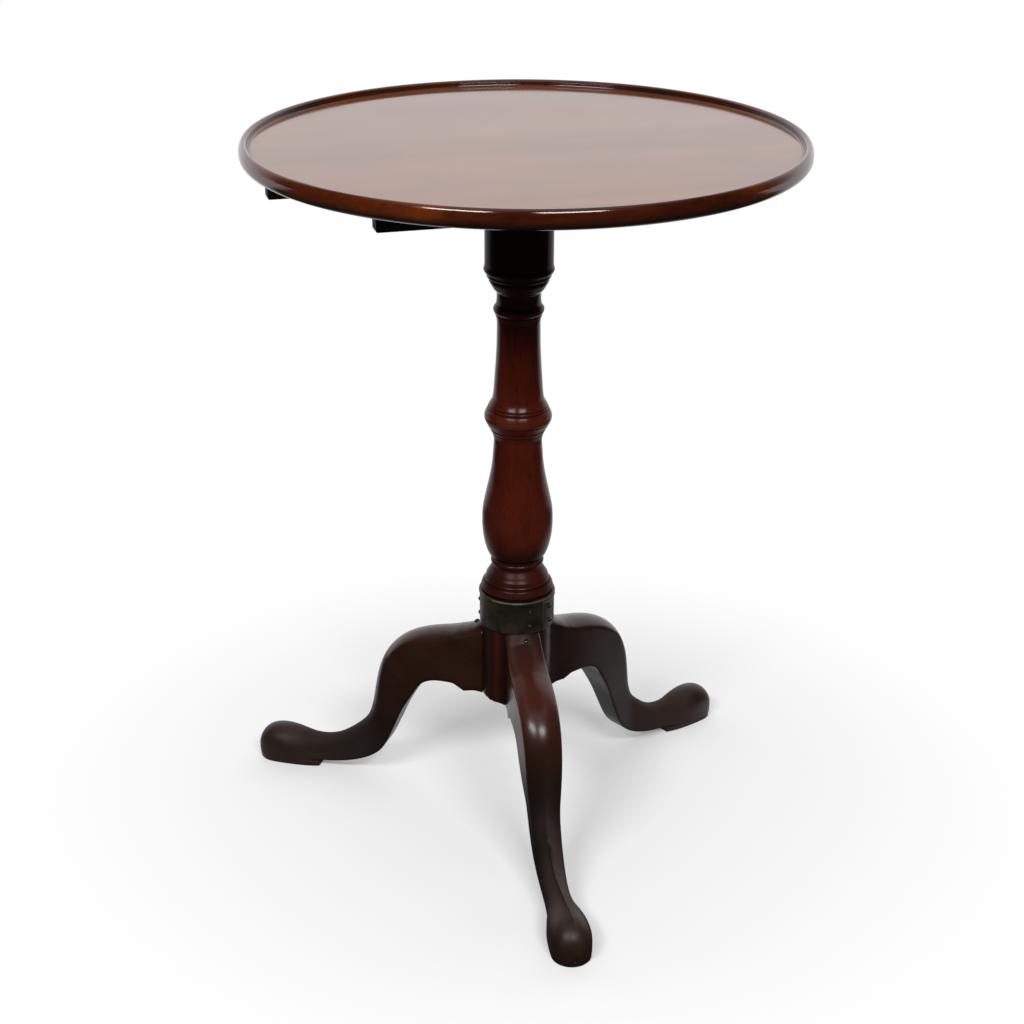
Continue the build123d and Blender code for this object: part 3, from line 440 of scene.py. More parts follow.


# The top: the dish in the light wood, and the moulding, edge and underside in darker colours that
# paint shade onto the same wood
top_wood = polished_wood(
    "polished top mahogany", (0.172, 0.054, 0.024), (0.240, 0.090, 0.040),
    along(0.10, 1, 1), along(0.035, 1, 1),
    gloss=(0.09, 0.14), shine=0.5, relief=(0.00003, 0.000002, 0.000002), pore=0.3, stain=0.3,
    edge=((0.038, 0.005, 0.001), (0.138, 0.025, 0.004)), rub=(0.22, 0.08, 0.04),
    soot=True, dull=True,
)
pillar_wood = polished_wood(
    "polished pillar mahogany", (0.050, 0.0075, 0.0030), (0.105, 0.0125, 0.0040),
    along(1, 1, 0.12), along(1, 1, 0.04),
    gloss=(0.18, 0.23), shine=0.15, relief=(0.0002, 0.00001, 0.00001),
    rub=(0.13, 0.034, 0.017), soot=True, dull=True,
)
leg_wood = polished_wood(
    "polished leg mahogany", (0.015, 0.0068, 0.0038), (0.028, 0.0104, 0.0054),
    leg_grain(0.12, 1, 1), leg_grain(0.04, 1, 1),
    gloss=(0.20, 0.26), shine=0.32, relief=(0.0002, 0.00001, 0.00001), pore=0.3,
    # The pale tint is a painted sheen
    tints={"ruddy": (0.075, 0.018, 0.011), "painted_sheen": (0.085, 0.060, 0.048)},
    soot=True, dull=True, crack=True,
)
# Near-black: painted shade, as the bearers, pivot block, pins and wedge sit under the top
shade_dark_bearer_wood = polished_wood(
    "bearer mahogany in painted shade", (0.007, 0.0032, 0.0022), (0.022, 0.0085, 0.0050),
    along(0.10, 1, 1), along(0.035, 1, 1),
    gloss=(0.5, 0.7), shine=0.2, relief=(0.0003, 0.00003, 0.00003),
)
iron = old_iron()
nails = nail_iron()
steel = metal("aged steel", (0.06, 0.055, 0.05), (0.22, 0.21, 0.2), (0.3, 0.55))
brass = metal("tarnished brass", (0.16, 0.10, 0.04), (0.45, 0.31, 0.12), (0.25, 0.5))


# Turned work

def turned(profile, middle, divisions, shift, worn, more):
    """Turned shell: each profile point (radius, height) is carried round the middle. The shift
    adds to the radius and height as a function of both and of the angle; worn and more give the
    marks that the finish reads."""
    turn = np.linspace(0, 2 * math.pi, divisions, endpoint=False)[None, :]
    radius = profile[:, 0][:, None] + 0 * turn
    height = profile[:, 1][:, None] + 0 * turn
    angle = turn + 0 * radius
    out, up = shift(radius, height, angle)
    radius, height = radius + out, height + up
    x, y = middle[0] + radius * np.cos(angle), middle[1] + radius * np.sin(angle)
    points = with_middles(np.stack([x, y, height], -1))
    marks = {"worn": worn(radius, height, angle), **more(radius, height, angle)}
    marks = {mark: np.r_[v.ravel(), v[0, 0], v[-1, 0]] for mark, v in marks.items()}
    return points, skin(*radius.shape), marks


# Board: radius of its lower edge, reach and rise of its upper edge, reach, fall and turn of the
# rim's bead, level of its step and of the dish, and how far in the cove between them lies
LOW_EDGE = 8.5
HIGH_EDGE_REACH, HIGH_EDGE_RISE = 4.2, 8.6
BEAD_REACH, BEAD_FALL, BEAD_TURN = 3.8, 2.4, math.radians(68)
STEP_LEVEL, DISH_LEVEL = 706.8, 704.0
COVE_START, COVE_END = 8.9, 10.6
# Height that parts the upper half of the board's edge from the lower one
EDGE_MIDDLE = 700


def board_profile():
    """Half section of the top board, from the middle of its underside round the edge and the
    moulded rim to the middle of the dish: edge curves, bead, step and cove."""
    foot = TABLE_HEIGHT - BOARD_THICKNESS
    quarter = np.linspace(0, math.pi / 2, 15)[1:]
    under = np.stack([np.linspace(HUB, BOARD_RADIUS - LOW_EDGE, 24), np.full(24, foot)], -1)
    low_edge = np.stack([
        BOARD_RADIUS - LOW_EDGE + LOW_EDGE * np.sin(quarter),
        foot + LOW_EDGE - LOW_EDGE * np.cos(quarter),
    ], -1)
    rise = np.linspace(0, math.pi / 2, 17)
    crown = BOARD_RADIUS - HIGH_EDGE_REACH
    high_edge = np.stack([
        crown + HIGH_EDGE_REACH * np.cos(rise),
        TABLE_HEIGHT - HIGH_EDGE_RISE + HIGH_EDGE_RISE * np.sin(rise),
    ], -1)
    fall = np.linspace(0, 1, 9)[1:, None] * BEAD_TURN
    bead = np.hstack([
        crown - BEAD_REACH * np.sin(fall) / math.sin(BEAD_TURN),
        TABLE_HEIGHT - BEAD_FALL * (1 - np.cos(fall)) / (1 - math.cos(BEAD_TURN)),
    ])
    outer, inner = BOARD_RADIUS - COVE_START, BOARD_RADIUS - COVE_END
    step = np.array([[crown - BEAD_REACH, STEP_LEVEL], [outer, STEP_LEVEL]])
    hollow = np.linspace(0, math.pi / 2, 8)[1:]
    cove = np.stack([
        outer - (outer - inner) * (1 - np.cos(hollow)),
        STEP_LEVEL - (STEP_LEVEL - DISH_LEVEL) * np.sin(hollow),
    ], -1)
    dish = np.r_[inner - 0.5, inner - 1.1, np.linspace(inner - 2, HUB, 40)]
    dish = np.stack([dish, np.full(len(dish), DISH_LEVEL)], -1)
    return eased(np.concatenate([under, low_edge, high_edge, bead, step, cove, dish]), 0.35)


# Small nicks in the rim: degrees round, depth, and half width in degrees
RIM_NICKS = ((-107, 0.5, 0.45), (-142, 0.3, 0.35), (-84, 0.22, 0.3), (35, 0.25, 0.4))


def board_shift(radius, height, angle):
    """The old board is no longer true: its dish waves by a few hundredths, the rim by a tenth,
    and the rim has small nicks."""
    upper = height > EDGE_MIDDLE
    inside = np.clip((BOARD_RADIUS - 16 - radius) / 30, 0, 1) * upper
    x, y = radius * np.cos(angle), radius * np.sin(angle)
    up = inside * 0.12 * (ripple(x + 0.3 * y, 3, 4, 420) + ripple(y, 8, 3, 330))
    rim = np.clip((radius - BOARD_RADIUS + 9) / 3, 0, 1) * upper
    out = -rim * 0.06 * (1 + ripple(angle * ROUND, 5, 6, 360))
    crown = bump(radius, BOARD_RADIUS - 2.5, 3.0) * (height > 702)
    degrees = np.degrees((angle + math.pi) % (2 * math.pi) - math.pi)
    for where, depth, wide in RIM_NICKS:
        out -= crown * depth * bump(degrees, where, wide)
    return out, up


def board_worn(radius, height, angle):
    """Most rubbed on the crown of the bead, in patches."""
    crown = bump(radius, BOARD_RADIUS - 3.5, 1.6) * (height > 706)
    return 0.22 * crown * (0.5 + 0.5 * ripple(angle * ROUND, 41, 7, 90))


def board_marks(radius, height, angle):
    """The moulding, the edge and the underside take a darker copy of the dish's wood, a painted
    shade. Painted shade also lies as dark lines in the corners of step and cove and darkens the
    edge towards the underside, and the underside is unpolished."""
    upper = 1.0 * (height > EDGE_MIDDLE)
    # Painted shade: dark lines in the corners of step and cove, and a darkening of the edge towards
    # the underside
    at_step = 0.85 * bump(radius, BOARD_RADIUS - 8.4, 0.7)
    at_cove = 0.6 * bump(radius, BOARD_RADIUS - 10.8, 0.5)
    inside = np.clip((BOARD_RADIUS - 6 - radius) / 6, 0, 1)
    under = np.clip((701 - height) / 6, 0, 1)
    soot = upper * (at_step + at_cove) + under * (0.85 - 0.6 * inside)
    return {
        "moulding": np.clip((radius - BOARD_RADIUS + 11.2) / 0.8, 0, 1) * upper + 1.0 - upper,
        "soot": np.clip(soot, 0, 1),
        "dull": 0.45 * under * inside,
    }


piece(
    "round_top",
    [turned(board_profile(), BOARD_MIDDLE, 320, board_shift, board_worn, board_marks)],
    "top", top_wood, ["table_top"],
)

# Mouldings of the pillar from its socket up to its drum, as radius and height in mm
TORUS = [
    (35.39, 253), (36.01, 253.71), (36.3, 255.29), (35.76, 257.4), (34.81, 259.6), (33.5, 261.99),
]
OGEE = [
    (31.91, 263.91), (30.89, 266.39), (30.09, 268.59), (28.89, 270.79), (27.7, 273),
    (26.24, 275.01), (24.68, 277.49),
]
COVE = [(24.68, 277.49), (24.9, 279.6), (26.32, 281.4)]
VASE = [
    (25.59, 285.17), (27.2, 288.55), (30.19, 295.04), (32.78, 304), (34.29, 312.97),
    (34.99, 321.8), (35.1, 327.91), (34.89, 334.92), (33.94, 343.49), (32.29, 351.94),
    (30.4, 360.9), (28.61, 368.95), (26.89, 377.92), (24.99, 390.91), (24.01, 404.94),
    (23.76, 413.9), (24.68, 417.89), (26.4, 421.88),
]
KNOP = [
    (27.72, 424.9), (28.51, 426.08), (29.7, 428.51), (30.89, 430.61), (32.01, 432.71),
    (32.74, 434.81), (33, 436.91), (32.8, 438.89), (32.21, 440.9), (31.28, 442.88),
    (30.29, 444.68),
]
SHAFT = [
    (29.57, 445.48), (29.7, 446.32), (29.3, 447.5), (28.41, 449.3), (27.19, 451.4), (26.1, 453.38),
    (25.25, 455.27), (24.5, 458.84), (23.85, 465.82), (23, 477.68), (22.2, 489.54), (21.5, 501.4),
    (21.05, 513.26), (20.88, 525.2), (20.9, 532.09), (21.4, 536.05), (22.3, 538.99),
]
ASTRAGAL = [(23.01, 541.6), (24.01, 543.2), (24.4, 545.2), (24.01, 547.2), (23.01, 548.6)]
NECK = [(21.67, 551.1), (21.2, 556.05), (21.28, 561)]
CAP_COVE = [
    (21.44, 561.75), (22.58, 563.75), (24.69, 566), (25.8, 568), (27, 570), (28.11, 572),
    (28.81, 574),
]
OVOLO = [(29.08, 576), (30.79, 577.62), (31.29, 579.75), (32.43, 581.75)]
LIP = [(32.83, 582.5), (33.5, 583.5), (33.5, 585.62), (33.1, 586.75)]
# Height, half width and depth of the fine grooves that the turner cut between the mouldings
GROOVES = np.array([
    (261.9, 0.9, 0.7), (281.2, 0.6, 0.5), (289.0, 1.3, 0.9), (420.4, 0.6, 0.45),
    (425.2, 0.7, 0.6), (432.1, 0.6, 0.4), (445.2, 0.6, 0.7), (448.3, 0.6, 0.45),
    (540.6, 0.6, 0.5), (549.6, 0.6, 0.5), (575.0, 0.6, 0.5),
])
# Height, half width and rise of the small bead in the ogee of the base
OGEE_BEAD = (267.6, 1.5, 0.5)
SOCKET_FOOT = 131
DRUM_RADIUS, DRUM_TOP = 32.7, 649
TENON_RADIUS, TENON_TOP = 17, 691.2
# Height of the collar's upper side, over which the pillar's base begins
BASE_FOOT = 250


def finer(profile, step=0.3):
    """Profile with short steps wherever a groove comes near, so that it can be cut there."""
    middle = (profile[1:, 1] + profile[:-1, 1]) / 2
    near = (np.abs(middle[:, None] - GROOVES[:, 0]) < 2.0).any(1)
    length = np.linalg.norm(np.diff(profile, axis=0), axis=1)
    count = np.where(near, np.ceil(length / step), 1).astype(int)
    which = np.repeat(np.arange(len(count)), count)
    share = np.arange(len(which)) - np.repeat(np.cumsum(count) - count, count)
    share = (share / count[which])[:, None]
    between = profile[:-1][which] * (1 - share) + profile[1:][which] * share
    return np.concatenate([between, profile[-1:]])


def in_grooves(height, deep):
    """Sum of a bell curve for each groove, as high as deep says: how far in a groove a height
    lies."""
    where, wide, deep = (
        np.reshape(values, (-1,) + (1,) * height.ndim)
        for values in (GROOVES[:, 0], GROOVES[:, 1], deep)
    )
    return (bump(height[None], where, wide) * deep).sum(0)


def pillar_profile():
    """Half section of the pillar: the socket block with a rounded foot, then base, vase, knop,
    shaft, astragal, neck, cap and drum, and the tenon above."""
    quarter = np.linspace(0, math.pi / 2, 7)
    round_foot = [SOCKET_RADIUS - 3 + 3 * np.sin(quarter), SOCKET_FOOT + 3 - 3 * np.cos(quarter)]
    parts = [np.array([(HUB, SOCKET_FOOT), (20, SOCKET_FOOT)]), np.stack(round_foot, -1)]
    parts += [np.stack([np.full(12, SOCKET_RADIUS), np.linspace(140, 253, 12)], -1)[:-1]]
    for shape, count in ((TORUS, 14), (OGEE, 20), (COVE, 9)):
        parts.append(flowing(shape, count))
    parts.append(np.array([(26.5, 281.4), (26.5, 284)]))
    for shape, count in (
        (VASE, 90), (KNOP, 30), (SHAFT, 80), (ASTRAGAL, 14), (NECK, 10), (CAP_COVE, 16),
        (OVOLO, 10), (LIP, 8),
    ):
        parts.append(flowing(shape, count))
    drum = [(DRUM_RADIUS, height) for height in (590, 600, 617, 635, DRUM_TOP - 0.1)]
    tenon = [(TENON_RADIUS, DRUM_TOP), (TENON_RADIUS, 670), (TENON_RADIUS, TENON_TOP)]
    parts.append(np.array(drum + tenon + [(HUB, TENON_TOP)]))
    return finer(eased(np.concatenate(parts), 0.3))


def pillar_shift(radius, height, angle):
    """Turned by hand and since shrunk: a little oval, with faint rings from the tool and fine
    grooves and a bead between the mouldings; the socket's foot is roughly rounded with a knife."""
    oval = 0.10 * np.cos(2 * angle + 0.6) * np.clip((radius - 18) / 10, 0, 1)
    rings = 0.02 * ripple(height, 12, 5, 9) - 0.02
    at, wide, high = OGEE_BEAD
    mouldings = high * bump(height, at, wide) - in_grooves(height, GROOVES[:, 2])
    foot = np.clip((139 - height) / 6, 0, 1) * np.clip((radius - 20) / 12, 0, 1)
    whittled = 0.9 * np.minimum(ripple(angle * ROUND, 61, 9, 90), 0.2) - 0.2
    out = np.minimum(oval, 0.0) + rings + mouldings + foot * whittled
    return out, foot * np.maximum(-whittled, 0)


def pillar_worn(radius, height, angle):
    """Rubbed where a hand or a foot meets it: the knop, the vase's belly and the arrises."""
    rings = (
        (1.0, 437, 6), (0.7, 545, 3), (0.6, 584.5, 2.5), (0.6, 255.3, 2.5), (0.25, 328, 22),
        (0.6, 445.6, 1.2),
    )
    return 0.5 * np.clip(sum(much * bump(height, at, wide) for much, at, wide in rings), 0, 1)


def pillar_marks(radius, height, angle):
    """Painted shade: the drum and the head of the shaft under the top are painted almost black, and
    so are the grooves and the gap over the collar; the socket is darkened but for two strips; the
    base darkens a little towards its foot and is dull, and painted shade lies most under the vase."""
    degrees = np.degrees(angle)
    # Painted shade under the top, in the gap over the collar, in the grooves and under the vase
    head = 0.85 * np.clip((height - 535) / 50, 0, 1)
    gap = 0.9 * np.clip((254 - height) / 1.5, 0, 1) * (height > BASE_FOOT)
    bare = bump(degrees, 220, 7) + 0.8 * bump(degrees, 320, 9)
    # The socket is darkened all round but for two strips
    socket = (height < BASE_FOOT) * (0.80 - 0.7 * np.minimum(bare, 1))
    low = np.clip((300 - height) / 20, 0, 1)
    foot = 0.35 * (height > BASE_FOOT) * low + 0.6 * bump(height, 296, 11)
    grooves = 0.8 * np.minimum(in_grooves(height, np.ones(len(GROOVES))), 1)
    return {
        "soot": np.clip(head + gap + socket + foot + grooves, 0, 0.97),
        "dull": 0.07 * low + 0.08 * bump(height, 276, 6),
    }


piece(
    "turned_pillar",
    [turned(pillar_profile(), PILLAR_MIDDLE, 180, pillar_shift, pillar_worn, pillar_marks)],
    "base", pillar_wood, ["pillar"],
)


# Legs

# Each row: run and rise of the top, run and rise of the underside, width, crown, as shares of
# the leg's reach, its rise and its width
LEG_SECTIONS = np.array([
    (0.102, 1.000, 0.102, 0.587, 0.875, 0.125),
    (0.140, 0.972, 0.140, 0.587, 0.887, 0.138),
    (0.198, 0.929, 0.191, 0.587, 0.950, 0.163),
    (0.273, 0.898, 0.253, 0.596, 0.988, 0.175),
    (0.355, 0.866, 0.307, 0.596, 0.988, 0.175),
    (0.424, 0.815, 0.342, 0.582, 0.968, 0.175),
    (0.477, 0.735, 0.360, 0.554, 0.950, 0.188),
    (0.509, 0.634, 0.381, 0.507, 0.920, 0.200),
    (0.534, 0.460, 0.419, 0.412, 0.825, 0.212),
    (0.546, 0.390, 0.434, 0.365, 0.762, 0.212),
    (0.564, 0.331, 0.453, 0.303, 0.720, 0.212),
    (0.590, 0.287, 0.474, 0.238, 0.688, 0.212),
    (0.621, 0.249, 0.502, 0.173, 0.650, 0.212),
    (0.680, 0.193, 0.588, 0.090, 0.600, 0.212),
    (0.748, 0.166, 0.702, 0.045, 0.570, 0.225),
    (0.786, 0.165, 0.765, 0.033, 0.650, 0.300),
    (0.823, 0.171, 0.820, 0.021, 0.850, 0.400),
    (0.868, 0.181, 0.868, 0.019, 0.975, 0.475),
    (0.916, 0.182, 0.916, 0.019, 1.010, 0.500),
    (0.957, 0.166, 0.953, 0.019, 0.938, 0.450),
    (0.983, 0.135, 0.978, 0.019, 0.740, 0.350),
    (0.994, 0.104, 0.990, 0.020, 0.500, 0.240),
    (0.999, 0.074, 0.996, 0.022, 0.300, 0.140),
])
# Underside before and in the scroll, and half of the sole's side, as shares of the same
LEG_LIP = [(0.102, 0.615), (0.137, 0.616), (0.157, 0.610), (0.174, 0.604)]
LEG_SCROLL = [
    (0.174, 0.604), (0.194, 0.624), (0.217, 0.643), (0.244, 0.646), (0.278, 0.643),
    (0.312, 0.629), (0.333, 0.609), (0.355, 0.568), (0.378, 0.512),
]
SOLE_SIDE = [(0.752, 0.285), (0.772, 0.335), (0.805, 0.398), (0.850, 0.448), (0.895, 0.474)]
# Toe of the sole: its middle as a share of the reach, and its radius
TOE, TOE_RADIUS = 0.932, 19.2
# Run and place across of the front foot's crack, and the mark that says that none is near
FRONT_CRACK = np.array([
    (178.4, -2.0), (194.8, -1.8), (209.9, -0.5), (224.9, 0.6), (250.3, 0.4), (272.6, 1.1),
])
NO_CRACK = 5.0
# How far each leg's grain is moved from the one before it, so that no two are alike
PLANK = 40


def leg_section(half, tall, crown, low, high):
    """Outline of a leg across its length: flat underside, straight sides and an arched top, its
    arrises eased by low and high. Returns how far across and how far up each point lies."""
    half, tall, crown = half[:, None], tall[:, None], crown[:, None]
    brow = tall - crown
    bow = (half**2 + crown**2) / (2 * crown)
    swing = np.arcsin(np.clip(half / bow, 0, 1))
    low = np.minimum(low[:, None], 0.3 * half)
    high = np.minimum(high[:, None], np.minimum(0.35 * half, 0.6 * brow))
    t = np.linspace(0, 1, 6)[None, :]
    a = np.linspace(0, 1, 11)[None, 1:-1]
    base_y = np.linspace(0, 1, 6)[None, :-1] * (half - low)
    low_y, low_z = half - low * (1 - t) ** 2, low * t**2
    side_y, side_z = half + 0 * a, low + (brow - high - low) * a
    start = swing - high / bow
    start_y, start_z = bow * np.sin(start), tall - bow * (1 - np.cos(start))
    turn_z = start_z - (half - start_y) * np.tan(start)
    high_y = half * (1 - t**2) + start_y * t**2
    high_z = (brow - high) * (1 - t) ** 2 + 2 * turn_z * t * (1 - t) + start_z * t**2
    sweep = np.linspace(1, 0, 15)[None, 1:-1] * start
    arc_y, arc_z = bow * np.sin(sweep), tall - bow * (1 - np.cos(sweep))
    right_y = np.concatenate([base_y, low_y, side_y, high_y, arc_y], 1)
    right_z = np.concatenate([0 * base_y, low_z, side_z, high_z, arc_z], 1)
    y = np.concatenate([right_y, 0 * half, -right_y[:, :0:-1]], 1)
    z = np.concatenate([right_z, tall, right_z[:, :0:-1]], 1)
    return y, z


def leg_frame(points, degrees):
    """Turns run, across and height into the table's own directions."""
    turn = math.radians(degrees)
    run, across, height = points[..., 0], points[..., 1], points[..., 2]
    return np.stack([
        PILLAR_MIDDLE[0] + run * math.cos(turn) - across * math.sin(turn),
        PILLAR_MIDDLE[1] + run * math.sin(turn) + across * math.cos(turn),
        height,
    ], -1)


def leg_marks(run, y, z, tall, height, reach, crack):
    """The knee is ruddy, the underside is darkened with painted shade and the ankle is dull. Where
    the leg has a crack, its mark is the distance across from the crack's wavering line, a pale
    painted sheen lies on the top beside that line, and the ankle over it is darkened."""
    share_up = z / tall[:, None]
    ruddy = bump(run, 0.34 * reach, 52) * bump(height, 190, 50)
    ankle = np.clip((run - 0.50 * reach) / 20, 0, 1)
    # Painted shade along the underside
    soot = 0.7 * np.clip(1 - share_up / 0.06, 0, 1)
    if crack is None:
        ruddy *= 0.1
        split, painted_sheen = np.full(run.shape, NO_CRACK), 0 * run
    else:
        ruddy *= 0.75
        split = y - np.interp(run, crack[:, 0], crack[:, 1]) + 0.35 * ripple(run, 31, 4, 23)
        outside = np.maximum(crack[0, 0] - run, run - crack[-1, 0])
        split = np.where(outside > 0, np.sign(split) * (np.abs(split) + outside), split)
        split = np.where(share_up < 0.6, np.copysign(NO_CRACK, split), split)
        on_top = np.clip((share_up - 0.4) / 0.3, 0, 1)
        # Painted sheen: a pale tint on the top beside the crack, where the polish catches the light
        painted_sheen = 0.65 * np.clip(split / 1.2, 0, 1) * bump(run, 222, 34) * on_top
        painted_sheen += 0.30 * np.clip((-split - 2.5) / 2, 0, 1) * bump(run, 248, 20)
        soot += 0.7 * bump(run, 0.59 * reach, 17) * np.clip(2 - split / 2, 0, 1)
    dull = 0.55 * ankle - 0.34 * np.clip((run - 0.80 * reach) / 30, 0, 1)
    return {"ruddy": ruddy, "painted_sheen": painted_sheen, "soot": soot, "dull": dull, "crack": split}


def leg_body(degrees, reach, shoulder, fade, swell, cusp, seed, crack):
    """A cabriole leg: sections stand between the line of its top and that of its underside, which
    has a scroll cut in it behind the knee; the shoulder is lifted, fuller in its crown, and
    hollowed to the pillar's curve."""
    sizes = np.array([reach, LEG_RISE, reach, LEG_RISE, LEG_WIDTH, LEG_WIDTH])
    line = flowing(LEG_SECTIONS * sizes, 330)
    top, foot = line[:, :2], line[:, 2:4]
    share = line[:, 0] / reach
    top[:, 1] += LEG_RISE * shoulder * np.clip(1 - (share - share[0]) / fade, 0, 1)
    edge = np.concatenate([flowing(LEG_LIP, 20), flowing(LEG_SCROLL, 60)[1:]])
    edge[:, 1] += cusp * np.interp(edge[:, 0], [0.102, 0.174, 0.225], [0, 1, 0])
    edge *= sizes[:2]
    cut = np.interp(foot[:, 0], edge[:, 0], edge[:, 1])
    foot[:, 1] = np.where(foot[:, 0] < edge[-1, 0], np.maximum(foot[:, 1], cut), foot[:, 1])
    rise = top - foot
    tall = np.linalg.norm(rise, axis=1)
    rise = rise / tall[:, None]
    at_foot = np.clip((share - 0.76) / 0.08, 0, 1)
    at_shoulder = np.clip(1 - (share - share[0]) / 0.11, 0, 1)
    crown = line[:, 5] + swell * at_shoulder
    y, z = leg_section(line[:, 4] / 2, tall, crown, 1.4 + 0.8 * at_foot, 3.0 + 2.0 * at_foot)
    run = foot[:, :1] + rise[:, :1] * z
    height = foot[:, 1:] + rise[:, 1:] * z
    hug = np.sqrt((SOCKET_RADIUS + SEAT_GAP) ** 2 - np.clip(y, -30, 30) ** 2)
    near_pillar = np.clip(1 - (run - line[0, 0]) / 14, 0, 1)
    run = run + near_pillar * (hug - line[0, 0])
    wobble = 0.12 * ripple(run + height, seed, 5, 130) * (z > 2)
    y = y * (1 - 0.004 * (1 + wobble))
    tip = math.radians(-38)
    grain = np.stack([
        run * math.cos(tip) - height * math.sin(tip),
        y + PLANK * seed,
        run * math.sin(tip) + height * math.cos(tip),
    ], -1) * MM
    marks = leg_marks(run, y, z, tall, height, reach, crack)
    marks = {mark: np.r_[v.ravel(), v[0].mean(), v[-1].mean()] for mark, v in marks.items()}
    marks["grain"] = with_middles(grain)
    points = with_middles(np.stack([run, y, height], -1))
    return leg_frame(points, degrees), skin(*run.shape), marks


def leg_sole(degrees, reach, seed):
    """The sole is a flat pad with eased edges under the foot: its plan is stacked in rings, each
    drawn in towards the pad's middle by its inset."""
    toe = reach * TOE
    side = [(reach * along_leg, LEG_WIDTH * across) for along_leg, across in SOLE_SIDE]
    side = flowing(side + [(toe, TOE_RADIUS)], 40)
    turn = np.linspace(math.pi / 2, -math.pi / 2, 41)[1:-1]
    toe_arc = np.stack([toe + TOE_RADIUS * np.cos(turn), TOE_RADIUS * np.sin(turn)], -1)
    plan = np.concatenate([side, toe_arc, side[::-1] * (1, -1)])
    inward = np.array([reach * 0.87, 0.0]) - plan
    inward /= np.linalg.norm(inward, axis=1)[:, None]
    inset = np.array([0.9, 0.3, 0.05, 0.0, 0.0, 0.08, 0.35, 1.0])[:, None, None]
    level = np.array([0.0, 0.12, 0.5, 1.2, 4.6, 5.3, 5.8, 6.0])[:, None, None]
    rings = plan[None] + inward[None] * inset
    rings = np.concatenate([rings, np.broadcast_to(level, (*rings.shape[:2], 1))], -1)
    points = with_middles(rings)
    even = {"ruddy": 0.0, "painted_sheen": 0.0, "soot": 0.0, "dull": 0.2, "crack": NO_CRACK}
    marks = {mark: np.full(len(points), value) for mark, value in even.items()}
    marks["grain"] = (points + np.array([0, PLANK * seed, 0])) * MM
    return leg_frame(points, degrees), skin(*rings.shape[:2]), marks


for seed, (name, shape) in enumerate(LEGS.items(), 1):
    leg_crack = FRONT_CRACK if name == "leg_front" else None
    piece(
        "cabriole_" + name,
        [leg_body(*shape, seed, leg_crack), leg_sole(*shape[:2], seed)],
        "base", leg_wood, [name],
    )


# Iron collar

def collar_shell():
    """Wrapped band: its section goes round the pillar with a flared upper edge. The outer end
    laps over the inner one and thins away behind; the iron is slightly uneven."""
    inner, outer, lip = SOCKET_RADIUS + SEAT_GAP, 37.7, 0.8
    section = eased(np.array([
        (inner, 216.3), (outer - 0.15, 216), (outer, 217), (outer, 228), (outer, 238),
        (outer, 245.6), (outer + 0.35, 246.8), (outer + lip, 248), (outer + lip, 249.5),
        (outer + 0.1, 250.9), (inner, 251), (inner, 240), (inner, 225), (inner, 216.6),
    ]), 0.5)
    degrees = np.r_[
        np.linspace(0, 0.9, 8), np.linspace(2, 40, 50), np.linspace(42, 358, 230),
        np.linspace(359, 359.98, 6),
    ]
    angle = np.radians(COLLAR_SEAM + degrees)[None, :]
    radius, height = section[:, 0][:, None], section[:, 1][:, None]
    out = np.clip((radius - inner) / (outer - inner), 0, 1)
    lap = np.interp(degrees, [0, 0.35, 34, 40, 359.98], [-0.5, 0.78, 0.72, 0.0, 0.0])[None, :]
    dents = 0.22 * ripple(angle * 38, 21, 7, 120) + 0.12 * ripple(height + 30 * angle, 22, 3, 26)
    radius = radius + out * (lap + np.minimum(dents, 0.1))
    wavy = (height > 246) * 0.25 * ripple(angle * 38, 23, 5, 90)
    rings = np.stack([
        PILLAR_MIDDLE[0] + radius * np.cos(angle),
        PILLAR_MIDDLE[1] + radius * np.sin(angle),
        height + np.minimum(wavy, 0) + 0 * angle,
    ], -1).transpose(1, 0, 2)
    rows, columns = rings.shape[:2]
    start = np.arange(rows)[:, None] * columns
    after = np.roll(start, -1, axis=0)
    here, there = np.arange(columns), np.roll(np.arange(columns), -1)
    faces = np.stack([start + here, start + there, after + there, after + here], -1)
    # The pale line along the top lip is a painted highlight; the lower edge and the lap's end are
    # rubbed
    rub = bump(height, 250.1, 0.6) * out + 0.2 * bump(height, 216.5, 0.6) * out
    rub = rub + 0.5 * bump(degrees[None, :], 0.5, 0.4) * out
    worn = np.clip(rub.T.ravel(), 0, 1)
    return rings.reshape(-1, 3), faces.reshape(-1, 4).tolist(), {"worn": worn}


piece("wrapped_collar", [collar_shell()], "base", iron, ["iron_collar"])


# Nails in the legs' shoulders

# Run, place across and height of each leg's nail, and how far it leans outwards from upright
SHOULDER_NAILS = {
    "leg_front": (41.2, 1.5, 210.0),
    "leg_right": (43.4, 3.0, 206.6),
    "leg_left": (43.5, -1.0, 204.3),
}
NAIL_LEAN = math.radians(30)


def shoulder_nail(degrees, run, across, height):
    """Domed head on a short shank: radius and level along the nail's own line, carried round
    that line."""
    swing = np.linspace(0, math.pi / 2, 9)
    dome = np.stack([2.7 * np.cos(swing), 1.9 * np.sin(swing)], -1)[:-1]
    shank = [(0.9, -14.0), (0.9, -0.5), (2.4, -0.5), (2.7, -0.3)]
    profile = np.concatenate([shank, dome, [(0.2, 1.9)]])
    turn = np.linspace(0, 2 * math.pi, 32, endpoint=False)[None, :]
    radius, level = profile[:, 0][:, None], profile[:, 1][:, None]
    flat, upright = radius * np.cos(turn), level + 0 * turn
    rings = np.stack([
        run + flat * math.cos(NAIL_LEAN) + upright * math.sin(NAIL_LEAN),
        across + radius * np.sin(turn),
        height - flat * math.sin(NAIL_LEAN) + upright * math.cos(NAIL_LEAN),
    ], -1)
    return leg_frame(with_middles(rings), degrees), skin(*rings.shape[:2]), {}


piece(
    "shoulder_nails",
    [shoulder_nail(LEGS[leg][0], *place) for leg, place in SHOULDER_NAILS.items()],
    "base", nails, ["leg_nails"],
)


# Nodes that keep their own shape

# How far a bearer's rounded lower corner reaches, and the distance at which points are one
CORNER_REACH = 0.0042
ONE_POINT = 0.00001


